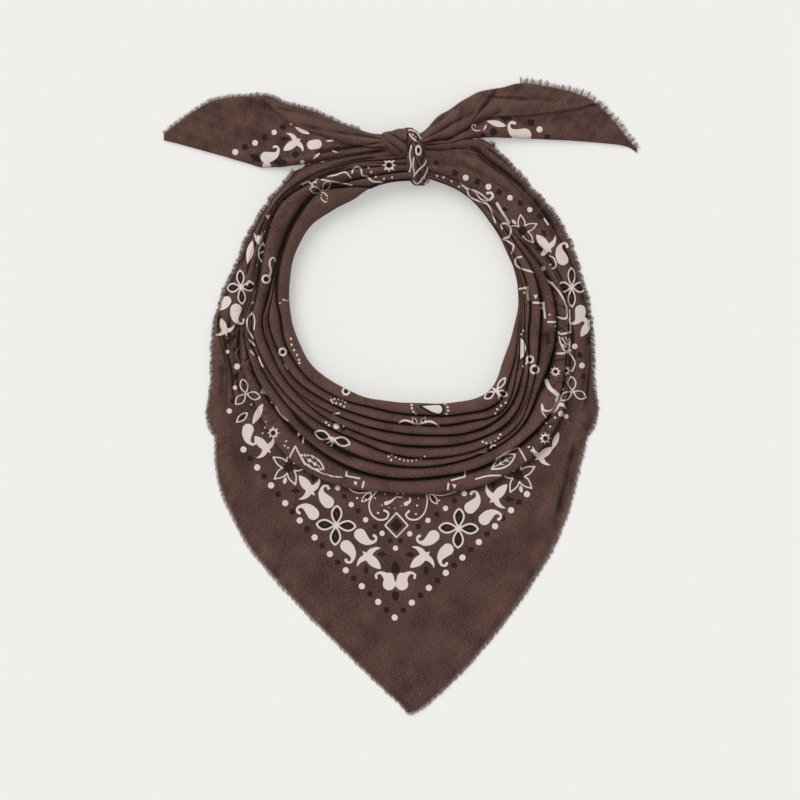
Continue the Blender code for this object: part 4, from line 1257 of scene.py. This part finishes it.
# Free strokes on the bib, in plan: rows of x, y and radius.
BIB_MIDDLE = -2.8
TIP_SCROLL = (
    # mirrored on the line down the bib's middle
    ((-6.6, -110.9, 2.7), (-6.8, -115.2, 3.9)),
    ((-6.8, -112.2, 3), (-9.9, -109.2, 1.5), (-12.6, -108.2, 0.8), (-14.8, -109.4, 0.7),
     (-14.6, -111.4, 0.8)),
)
BIB_STROKES = (
    ((-13.2, -56.6, 0.4), (-17.5, -61.6, 0.4), (-19.2, -66.4, 0.45), (-17.6, -72, 0.5),
     (-13.2, -75.4, 0.55), (-8.4, -74.6, 0.55), (-7.2, -71.2, 0.6), (-9.8, -69.6, 0.7)),
    ((15.8, -56.8, 0.4), (16.9, -63.4, 0.4), (15.4, -70.4, 0.45), (11.4, -74.8, 0.5), (6.4, -75.2, 0.55),
     (3.6, -72.6, 0.55), (5.6, -70, 0.7)),
    ((-34, -54, 0.3), (-28, -58.4, 0.35), (-21, -58.6, 0.35), (-13.2, -56.6, 0.4)),
    ((35, -57.8, 0.3), (27, -60.2, 0.35), (20.5, -59.8, 0.35), (15.8, -57.4, 0.4)),
    ((-8.6, -65.2, 1.3), (-5.6, -64, 0.7), (-2.6, -61.6, 0.4), (1.6, -61.4, 0.35)),
    ((3.6, -65.6, 1.3), (6.2, -63.8, 0.7), (6, -61.8, 0.4)),
    ((-2.2, -59.8, 0.35), (-0.2, -57.8, 0.4), (2.4, -59.6, 0.35)),
    *TIP_SCROLL,
    *(tuple((2 * BIB_MIDDLE - x, y, radius) for x, y, radius in rows) for rows in TIP_SCROLL),
)
BIB_MARKS = (
    # motif, middle, turn, size
    ("diamond", (-2.2, -78.9)),
    ("drop", (-2.8, -105.2), 0, 1.05),
    ("drop", (-2.8, -122.6), 180, 0.9),
    ("dark_leaf", (-20.8, -61.6), 40, 0.85),
    ("dark_leaf", (20.6, -62.4), -52, 0.85),
    *(("dot", middle, 0, 0.86) for middle in INNER_DOTS),
    *(("square", middle, 0, 0.92) for middle in INNER_SQUARES),
)
BIB_BEADS = (
    (-13.6, -71.2, 0.75), (-9.4, -59.6, 0.5), (-15.4, -62, 0.55), (10.6, -66.6, 0.7), (11.4, -62.2, 0.5),
    (9.9, -71.8, 0.7), (6.4, -58.6, 0.55), (-6.9, -68, 0.45), (-26.6, -62, 0.7), (-11.2, -66.4, 0.5),
    (13, -57.6, 0.5), (-21.2, -62.6, 0.5), (24.4, -63.4, 0.6), (-3, -68.4, 0.5), (0.9, -66.9, 0.45),
)


def arm_point(arm, s, d):
    """Plan position of a point by its distance along an arm of the border and inward from it."""
    turn = math.radians(ARM_TURN[arm])
    inward = turn - math.pi / 2 if arm == "left" else turn + math.pi / 2
    return (
        CORNER[0] + s * math.cos(turn) + d * math.cos(inward),
        CORNER[1] + s * math.sin(turn) + d * math.sin(inward),
    )


def print_bib(points):
    """The border print on the bib, and the scrolls at its middle."""
    cloth = Print(points)
    cloth.border()
    for motif, middle, *how in BIB_MARKS:
        cloth.stamp(motif, middle, *how)
    for rows in BIB_STROKES:
        cloth.draw(curved(rows))
    for bead in BIB_BEADS:
        cloth.draw((bead,))
    cloth.marks(LEFT_MARKS + RIGHT_MARKS)
    cloth.lines(LEFT_LINES + RIGHT_LINES)
    return cloth.fields


# Marks read off the photograph: its scale, and the pixel that is the middle of the plan.
PHOTO_SCALE = 0.62                  # millimetres for each pixel
PHOTO_MIDDLE = (400.0, 398.0)
LINE_WEIGHT = 1.15                  # drawn lines against the radii in the tables
SEED_RADIUS = 0.72
LEFT_BORDER_END, RIGHT_BORDER_END = 445, 462     # pixel row above which each side has its own print


def from_photo(px, py):
    """Plan position, in millimetres, of a spot on the photograph."""
    return (px - PHOTO_MIDDLE[0]) * PHOTO_SCALE, (PHOTO_MIDDLE[1] - py) * PHOTO_SCALE


# On the pleats round the neck.
NECK_MARKS = (
    # first and last pleat, then motifs, each with its places
    (0, 0, (
        ("tear", (432.6, 408.4, -3, 1.15)),
        ("ring", (346.3, 391.2)),
    )),
    (0, 1, (
        ("rim_sprig", (495.6, 390.5)),
        ("seed", (284.3, 300.2, 0, 0.9), (280.4, 303.6, 0, 0.8)),
        ("tick", (287.4, 301, 0, 0.5)),
    )),
    (0, 7, (
        ("trefoil", (322.3, 192.1, 20, 0.72)),
        ("sun", (389.2, 166.7, 0, 1.05)),
        ("heart", (535, 296.8)),
    )),
    (1, 1, (
        ("dark_leaf", (414.6, 421, 118, 0.55), (423, 420.4, 58, 0.55)),
        ("spur", (290.4, 352, -65, 1.3)),
    )),
    (1, 2, (
        ("ring", (283.2, 352.1)),
    )),
    (1, 4, (
        ("tick", (336.7, 413.5, 12, 0.9)),
    )),
    (1, 5, (
        ("half_leaf", (522.6, 348.4)),
    )),
    (2, 4, (
        ("tick", (286.7, 366.5, -60, 0.8)),
    )),
    (2, 6, (
        ("ring", (534, 369.6, 0, 1.15), (529.4, 359.6, 0, 0.95)),
    )),
    (3, 4, (
        ("ring_hook", (266.8, 279.7, 0, 0.95)),
    )),
    (4, 4, (
        ("dot", (336.7, 426, 0, 0.95)),
        ("pip", (330, 427.4, 0, 1.1), (343.2, 429.4, 0, 1.1)),
    )),
    (4, 6, (
        ("arc", (408, 460.6, -3, 1.14)),
    )),
    (5, 5, (
        ("ring", (493.2, 447.6, 0, 0.8)),
        ("pip", (489, 447.4, 0, 1.2)),
    )),
    (5, 6, (
        ("butterfly", (332.4, 438.5, -18, 1.06)),
        ("sliver", (484, 452, 12, 0.6)),
    )),
    (5, 7, (
        ("sliver", (252.4, 342.6, -48, 0.75), (252.6, 352.8, -52, 0.6)),
        ("sun", (554.9, 371.7, 10, 0.8)),
        ("bead", (542.8, 269, 0, 1.2)),
    )),
    (7, 7, (
        ("heart", (355.7, 482.6), (454.3, 485.5), (299.4, 433.6, -30, 1.1), (260.8, 371, 0, 1.1)),
        ("open_leaf", (312, 461.6, -30, 1.15), (503, 461.6, 32, 1.15)),
        ("tick", (303.4, 440, 80, 0.9), (264, 377.8, 42, 0.9)),
        ("square_eye", (264.7, 391.2, -15)),
        ("seed", (272.2, 402, 0, 1.3)),
        ("sun", (273.6, 432.9, 0, 0.95), (544.8, 438.3, 0, 0.92)),
    )),
)
NECK_LINES = (
    # radius, then lines of spots
    (0.5, ((398.9, 422.6), (404, 420.2), (409.5, 421.2), (414, 423.6), (418.8, 424.4)), ((418.8, 424.4),
     (424, 422.4), (429.6, 421.2), (434.4, 423), (438.7, 426)), ((363.8, 481.4), (363.2, 484.6),
     (362.4, 487.4)), ((448.4, 483.2), (448, 486.2), (447.6, 489)), ((276, 406.8), (281, 414.4),
     (288, 420.7)), ((259.4, 357.6), (260.8, 362.4), (263.2, 366.6)), ((532.9, 272.8), (521.6, 269.3),
     (515.2, 265), (515.6, 258.9), (520.8, 257.5))),
    (0.45, ((346.8, 471.6), (346.3, 475.4), (346.5, 475.7), (353, 476.8), (360, 478.3)), ((465, 471.6),
     (464.6, 476.2), (464.2, 476.6), (458, 478.2), (451.2, 480)), ((501.7, 229.4), (500.8, 225),
     (506, 224.5), (510.4, 229.4), (508.6, 237.2), (503, 239)), ((502.6, 239.8), (508, 242.4),
     (513, 246.7), (511.2, 253.7)), ((352.4, 174.4), (353.4, 170.8), (357, 168.1), (361.2, 170.4),
     (362.4, 176.2), (367.8, 178), (372.3, 182.5), (382.2, 183.4)), ((252.9, 312.7), (247.7, 320),
     (248.9, 330), (253.8, 338.5))),
    (0.42, ((295.7, 445.9), (291.6, 453.6), (288, 460.8)), ((295.7, 445.9), (300.2, 455), (305.3, 464.4)),
     ((306, 464), (318, 470.6), (330, 475.4), (342, 477)), ((518.4, 447.6), (522.4, 454.4),
     (525.6, 460.8)), ((518.4, 447.6), (507, 452), (496, 459))),
    (0.55, ((430, 172), (440, 172), (450, 175), (458.3, 181.7), (466.7, 190.2)), ((519, 289.4),
     (526.5, 288), (526.8, 288.4), (528.2, 300.2)), ((532.9, 303.1), (542.5, 303.6), (542.9, 304.2),
     (544.5, 318.2)), ((547.3, 322.2), (556.3, 322.2))),
    (0.4, ((466.7, 190.8), (470, 198.3), (481.7, 203.3), (488.3, 206.7), (495, 223.3)), ((462, 187),
     (474, 192.4), (480, 199.6), (487, 202)), ((328.2, 177.4), (336, 176.4), (345.3, 173.5), (351, 179)),
     ((303, 185.2), (308.4, 182.5), (312, 184.4), (318, 180)), ((322, 181), (332, 182.4), (342, 184),
     (352, 186))),
    (0.35, ((252.9, 312.7), (255.4, 320), (254.6, 330))),
)
NECK_SEEDS = (
    (326.4, 422.4), (329.3, 425.2), (343.7, 426.2), (411.6, 404.9), (411.8, 408.2), (413.3, 411.6),
    (415.7, 414), (444.9, 403.8), (447.3, 407), (447.8, 410.6), (446.2, 413.8), (505.2, 402.7),
    (500.4, 405.6), (496.8, 409.2), (494.9, 413.5), (482.4, 441.6), (486, 443), (490.8, 442.8),
    (495.1, 440.9), (498, 438), (499.9, 434.4), (525.6, 363.6), (522.7, 366.5), (291.6, 339.1),
    (292.3, 344.9), (294.7, 350.4), (297.6, 355.2), (299.5, 360), (300, 363.2), (331.7, 400.1),
    (334.8, 398.9), (338.9, 398.9), (342.7, 400.1), (345.6, 402.2), (332.8, 402.8), (336.5, 403.2),
    (340.8, 404.3), (344.4, 406.6), (388.6, 456.4), (391.2, 459.8), (436.7, 177.5), (443.3, 178.7),
    (451.2, 182.5), (458.7, 187.8), (523.4, 293.2), (541, 308.3), (548.9, 315), (555, 326.5),
    (368.7, 169), (371.4, 173.5), (375.9, 178), (384, 180.2), (392.1, 178.9), (253.4, 303.1),
    (286.6, 441), (285, 445.6), (288.4, 447.6), (528.4, 446.8), (531, 450.4), (523, 331), (520.6, 334.4),
    (312.6, 186.6), (316, 183.4),
)

# On the gathered cloth of the left side.
LEFT_MARKS = (
    ("quatrefoil", (241.6, 287.5, 4, (0.72, 0.86))),
    ("paisley", (237.3, 314.6, 262, (-0.92, 0.92)), (223.6, 304, 55, 0.8), (249, 434.6, 262,
     (-0.95, 0.95))),
    ("tulip", (224.8, 329.4, -68, 0.72), (264.6, 446.6, -42, 0.92)),
    ("leaf", (250.3, 252.8, 78, 1.15), (258, 414, 62, 1.15)),
    ("fork", (258.6, 238.6, 0, 0.95)),
    ("seed", (265.9, 232, 0, 0.9), (267.3, 239.8, 0, 0.8), (258.1, 265.8, 0, 0.9), (266.4, 421.6, 0, 0.8),
     (265, 427.6, 0, 0.8), (262.8, 433.2, 0, 0.8), (251.4, 404.6, 0, 0.9)),
    ("tick", (255.5, 284.9, -20, 0.8)),
    ("heart", (268.5, 217.3)),
    ("trefoil", (246.4, 393.6, -45, 0.88)),
    ("sun", (273.6, 432.9, 0, 0.95)),
    ("dot", (237.3, 366.5, 0, 0.95), (229.4, 411, 0, 0.85)),
    ("square", (235.6, 376.9, 0, 1.1), (233.6, 401), (228.6, 342)),
    ("bead", (235.2, 387.6, 0, 1.2), (228, 351.8)),
    ("spur", (234, 337, 60)),
    ("dark_leaf", (242, 417.6, 40, 0.95)),
    ("pip", (258.4, 441, 0, 1.2)),
    ("sliver", (303, 184.6, 22, 0.5)),
)
LEFT_LINES = (
    (0.38, ((263.3, 243.3), (265.9, 250.2), (259, 255.4), (263.3, 264.1)), ((263.3, 243.3), (259.4, 249.4),
     (259, 255.4))),
    (0.45, ((254, 284), (249.6, 281.4), (247.6, 285.6))),
)

# On the gathered cloth of the right side.
RIGHT_MARKS = (
    ("dot", (465.3, 178.9, -20, 0.95), (488, 187.8, 0, 0.95), (509.5, 198.6, 0, 0.9),
     (529.3, 210.3, 0, 0.85), (563.8, 326.5, 0, 0.75), (574.2, 346.5, 0, 0.85), (581.5, 365.6, 0, 0.92),
     (566, 416.4, 0, 0.75)),
    ("square", (455, 174.4, -20), (477, 182.8, -25, 1.05), (498.9, 193, -25, 1.05), (519.8, 204, -25),
     (539.6, 216.5, -30), (435.8, 164.2, -20, 0.9), (579.4, 355.2, -15), (583, 376.6, -15, 0.9)),
    ("spur", (503.6, 210.4, 0, 0.9), (543.3, 233.7, -50, 0.9), (538.5, 248.8, 20, 0.9),
     (589, 339.6, 80, 1.1)),
    ("lily", (521.9, 231.3, 85, 0.86)),
    ("tulip", (545.1, 246.4, -45, 0.92), (587.6, 325.4, 62, 0.86), (556.4, 405, 60, 0.7),
     (541.6, 455, -140, 0.85)),
    ("paisley", (561.6, 254.4, -66, 0.98), (577.6, 315.6, 80, 0.95)),
    ("curl", (551, 263.6, -56, 0.85)),
    ("quatrefoil", (571.1, 287.5, 0, (0.72, 1))),
    ("bead", (549.4, 288.7), (562.4, 306.6, 0, 0.8), (560.6, 413.6, 0, 1.6), (548.2, 315, 0, 1.1),
     (555.2, 326.2, 0, 0.9)),
    ("sun", (565.4, 370.8, 0, 0.75), (544.8, 438.3, 0, 0.92)),
    ("trefoil", (572.2, 391.4, 65, 0.88)),
    ("leaf", (555.4, 440.6, 70, 0.9)),
    ("seed", (547.4, 399.4), (549.6, 426.4, 0, 0.9), (545.6, 423, 0, 0.9), (542.5, 287.5, 0, 0.9),
     (556, 293, 0, 0.8), (561, 299.5, 0, 0.7), (556.6, 357.7, 0, 1.2), (563, 357.5, 0, 1.2),
     (558.6, 385, 0, 0.9), (562.2, 389.2, 0, 1.1), (545.7, 407.5, 0, 1.2), (550.5, 411), (554.5, 417.5)),
    ("pip", (551, 376.4, 0, 1.2), (545.6, 415.4, 0, 1.6)),
)
RIGHT_LINES = (
    (0.65, ((486.7, 194.2), (490.8, 194), (492.4, 197.6), (489.2, 200.8))),
    (0.75, ((496.6, 204.4), (500.4, 211), (504.4, 217.4), (508.4, 223.2))),
    (0.45, ((472.5, 190.8), (480, 194.6), (487.5, 200.8))),
    (0.5, ((544, 219.4), (547.8, 225)), ((539.9, 280.6), (549.4, 282.3), (558.1, 291.9), (565, 304),
     (566.8, 314), (564.6, 319), (556.3, 317)), ((557.6, 332.2), (560.6, 334.2), (570.2, 332.4)),
     ((556.4, 353.6), (563.6, 353.4), (570.2, 350.4)), ((543.4, 277), (547.6, 281.4), (552.4, 283.8)),
     ((558.4, 395.6), (556, 403), (551.6, 409.6), (544, 410.6), (541.4, 405))),
    (0.36, ((569.2, 310), (569.8, 322), (570.2, 332.4)), ((568.6, 352.4), (572.8, 358.4), (574.6, 363.4),
     (571.8, 371.6)), ((541.2, 403.4), (541.4, 411), (545.6, 417.6))),
    (0.42, ((558.6, 336.8), (560, 343.2), (563.6, 350.4), (567.6, 350.8), (569.4, 345.6), (568.8, 339)),
     ((475.2, 478.8), (488, 475.6), (500.4, 475.2))),
    (0.34, ((561.2, 338), (563.8, 342), (566.6, 345.4)), ((564.8, 337.6), (567, 341.6), (567.8, 345))),
    (0.3, ((562.2, 344.8), (564.2, 346.6), (566.2, 347.6))),
    (1.15, ((556.8, 399.4), (557, 402.6))),
    (1.05, ((546, 380.6), (548.4, 387), (554, 392.4), (558.4, 395.6))),
)

# On the tails.
TAIL_MARKS = {
    "left_tail": (
        ("dot", (235.5, 152.4), (255.3, 143.3, 0, 0.95), (274.5, 133, 0, 0.88), (267, 166.4, 0, 1.35)),
        ("square", (245.4, 147.4, 28, 1.1), (264.8, 138, 28, 1.1), (283.2, 128, 28, 1.1)),
        ("spur", (255.8, 158.4, -30, 1.4), (285, 139.8, 10), (280.5, 162.8, 0, 1.5)),
        ("pip", (295.8, 155.4, 0, 1.7), (300.6, 129.8, 0, 0.6)),
        ("paisley", (270.8, 155.6, 8, (-0.92, 0.92))),
        ("tulip", (294.6, 144, 38, 0.84)),
        ("oval", (314.7, 145.6, 8)),
        ("leaf", (302.6, 131.4, -26, 0.8)),
        ("bead", (291.8, 124.2, 0, 0.9), (302.6, 163, 0, 1.2)),
        ("sliver", (330, 142, 4, 0.65), (316.8, 157.2, 42, 0.75), (335, 152.8, -20, 0.5)),
    ),
    "right_tail": (
        ("curl", (475.4, 128.6, 170, 0.6)),
        ("leaf", (496, 124.4, -14, 0.98)),
        ("sliver", (484.6, 128.8, 60, 0.6)),
        ("pip", (493.3, 132.6, 0, 1.8), (482.6, 136.4, 0, 1.3)),
        ("spur", (505, 118.6, -10, 1.4)),
        ("paisley", (518.6, 133.4, -6, 1.12)),
        ("square", (530.8, 123.3, 0, 1.2), (547, 138, 0, 1.1)),
        ("dot", (539.2, 130, 0, 0.98)),
    ),
    "left_flap": (),
    "right_flap": (
        ("pip", (460.4, 102.4, 0, 0.7)),
        ("sliver", (450.4, 109.4, 35, 0.4)),
    ),
}
BAND_LINES = (
    (0.4, ((408.6, 131.4), (412, 132), (416.6, 134.6), (420.6, 140.6)), ((427.4, 158), (424.4, 166),
     (418, 172.4), (412.6, 179))),
    (0.36, ((409.4, 136), (412.4, 140.4), (416.4, 143.4)), ((428.4, 167), (425.6, 175), (420, 183)),
     ((431, 175), (428, 181.6), (424.6, 185)), ((413, 181), (416.4, 184.6), (421, 182))),
    (0.38, ((411.2, 148), (409.6, 157), (411, 167), (407.6, 177.4))),
    (0.34, ((413.6, 160), (413, 168), (414.6, 176))),
)
BAND_SHADES = (
    (0.55, ((410.6, 144), (409, 152), (410.6, 160))),
    (0.6, ((423.6, 148), (424, 156), (421, 164))),
    (0.5, ((417, 168), (419.6, 176), (417, 181.6)), ((414.6, 134), (417.6, 140), (415.4, 146))),
)
BAND_MARKS = (
    ("ring", (418.2, 152.6, 0, (0.72, 1.25))),
    ("seed", (412.6, 137, 0, 0.7), (415.8, 139.6, 0, 0.6), (419.4, 170.6, 0, 0.7), (424, 179, 0, 0.7),
     (410, 172.6, 0, 0.6)),
)


def print_neck(points, pleats):
    """The print that shows on the pleats, each mark only on its own folds."""
    cloth = Print(points)
    for first, last, marks in NECK_MARKS:
        cloth.marks(marks, (pleats >= first) & (pleats <= last))
    cloth.marks(LEFT_MARKS + RIGHT_MARKS, pleats == 7)
    cloth.lines(LEFT_LINES + RIGHT_LINES, pleats >= 6)
    cloth.lines(NECK_LINES, pleats >= 0)
    for px, py in NECK_SEEDS:
        cloth.draw(((*from_photo(px, py), SEED_RADIUS),), pleats >= 0)
    return cloth.fields


def print_side(points, border_end, marks, lines):
    """The print on a gathered side: the border below a height in the photograph, then its own marks."""
    cloth = Print(points)
    cloth.border()
    for field in cloth.fields.values():
        field[cloth.y >= from_photo(0, border_end)[1]] = UNPRINTED
    cloth.marks(marks)
    cloth.lines(lines)
    return cloth.fields


def print_tail(points, name):
    z = points[..., 2]
    cloth = Print(points)
    cloth.marks(TAIL_MARKS[name], z > 0.42 * z.max(axis=1, keepdims=True))
    return cloth.fields


def print_band(points):
    z = points[..., 2]
    cloth = Print(points)
    shown = z > np.maximum(0.62 * z.max(axis=1, keepdims=True), 5.0)
    cloth.lines(BAND_LINES, shown)
    cloth.lines(BAND_SHADES, shown, "black")
    cloth.marks(BAND_MARKS, shown)
    return cloth.fields


# ---- building ----------------------------------------------------------------------------------
def build_cloth():
    """Every stretch of the cloth, in place of its solid, and the threads along its edges."""
    cotton_material, thread = cotton(), thread_material()

    def lay(name, points, marks, node):
        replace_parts(grid_mesh(name, points, cotton_material, marks), node)

    for side, start, end in (("left", NECK_START, NECK_MIDDLE), ("right", NECK_MIDDLE, NECK_END)):
        neck, pleats = neck_surface(np.linspace(start, end, int((end - start) / NECK_STEP) + 1))
        lay(f"neck_rolls_{side}", neck, print_neck(neck, pleats), "neck_folds")

    bib = bib_surface(np.linspace(BIB_START, BIB_END, BIB_RAYS))
    lay("bib_cloth", bib, print_bib(bib), "bib_front")
    left_angle = np.linspace(NECK_START, BIB_START, LEFT_RAYS)
    left = side_surface(LEFT_SIDE, left_angle, LEFT_CREASES, BIB_START)
    lay("left_side_cloth", left, print_side(left, LEFT_BORDER_END, LEFT_MARKS, LEFT_LINES), "left_gather")
    right_angle = np.linspace(BIB_END, NECK_END, RIGHT_RAYS)
    right = side_surface(RIGHT_SIDE, right_angle, RIGHT_CREASES, BIB_END)
    marks = print_side(right, RIGHT_BORDER_END, RIGHT_MARKS, RIGHT_LINES)
    lay("right_side_cloth", right, marks, "right_gather")
    back = back_surface()
    lay("back_cloth", back, print_bib(back), "bib_back")

    for side, table, creases, seed in (
        ("left", LEFT_TAIL, LEFT_TAIL_CREASES, 21), ("right", RIGHT_TAIL, RIGHT_TAIL_CREASES, 31),
    ):
        for part in ("tail", "flap"):
            points, name = tail_surface(table, part, creases, seed), f"{side}_{part}"
            lay(f"{name}_cloth", points, print_tail(points, name), name)

    lobe = lobe_surface()
    lay("knot_lobe_cloth", lobe, Print(lobe).fields, "knot_lobe")
    band = band_surface()
    lay("knot_band_cloth", band, print_band(band), "knot_band")

    bib_edge = outer_row(bib)
    tip = int(np.argmin(bib_edge[0][:, 1]))
    back_angle = np.arange(NECK_START, NECK_END + 0.5, BACK_STEP)
    shown_back = (back_angle > 273.0) & (back_angle < 321.0)
    strips = (
        # node, edge, which of it, height of the ends, length, pitch, unevenness, paleness
        ("bib_left", bib_edge, slice(tip + 1), 0.45, 2.8, 0.27, 0.5, 1.0),
        ("bib_right", bib_edge, slice(tip, None), 1.0, 2.8, 0.27, 0.5, 1.0),
        ("bib_back", outer_row(back), shown_back, 0.40, 2.9, 0.36, 0.6, 1.0),
        ("left_side", outer_row(left), left_angle > 132.0, 0.45, 3.1, 0.20, 0.55, 0.25),
        ("right_side", outer_row(right), right_angle < 421.0, 0.45, 3.3, 0.20, 0.50, 0.40),
        ("left_tail", edge_row(LEFT_TAIL, 1.2, 3), slice(None), 0.45, 2.6, 0.28, 0.6, 0.7),
        ("right_tail", edge_row(RIGHT_TAIL, 1.3, 7), slice(None), 0.45, 4.2, 0.26, 0.8, 0.9),
    )
    for seed, (name, (edge, away), part, *how) in enumerate(strips, 40):
        piece = threads_mesh(f"threads_{name}", edge[part], away[part], *how, seed, thread)
        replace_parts(piece, f"fringe_{name}")


FLOOR_HALF = 4.0
CAMERA_HEIGHT, CAMERA_Y, FRAME_WIDTH, SENSOR = 2.5, -0.00124, 0.496, 36.0
LIGHTS = (
    # name, place, angle of the source, strength
    ("key_light", (-0.75, 0.95, 1.45), 38.0, 1.60),
    ("fill_light", (0.5, 0.1, 2.0), 90.0, 0.30),
)


def build_stage():
    """The pale surface under the cloth, a soft room, two lights and a camera straight above."""
    scene = bpy.context.scene
    mesh = bpy.data.meshes.new("floor")
    mesh.from_pydata([(x, y, 0.0) for x, y in box(FLOOR_HALF, FLOOR_HALF)], [], [(0, 1, 2, 3)])
    mesh.materials.append(lit_material("pale_surface", FLOOR_COLOUR, FLOOR_GLOW))
    floor = bpy.data.objects.new("floor", mesh)
    scene.collection.objects.link(floor)

    scene.world = bpy.data.worlds.new("soft_room")
    scene.world.use_nodes = True
    background = scene.world.node_tree.nodes["Background"]
    background.inputs["Color"].default_value = (1.0, 0.995, 0.985, 1.0)
    background.inputs["Strength"].default_value = 0.50

    for name, place, spread_degrees, power in LIGHTS:
        data = bpy.data.lights.new(name, "SUN")
        data.angle = math.radians(spread_degrees)
        data.energy = power
        data.color = (1.0, 0.99, 0.975)
        light = bpy.data.objects.new(name, data)
        light.location = place
        light.rotation_mode = "QUATERNION"
        light.rotation_quaternion = (-light.location).to_track_quat("-Z", "Y")
        scene.collection.objects.link(light)

    data = bpy.data.cameras.new("camera")
    data.sensor_width = SENSOR
    data.lens = SENSOR * CAMERA_HEIGHT / FRAME_WIDTH
    data.clip_start, data.clip_end = 0.1, 20.0
    data.dof.use_dof = False
    camera = bpy.data.objects.new("camera", data)
    camera.location = (0.0, CAMERA_Y, CAMERA_HEIGHT)
    scene.collection.objects.link(camera)
    scene.camera = camera
    scene.view_settings.view_transform = "Standard"


build_cloth()
build_stage()
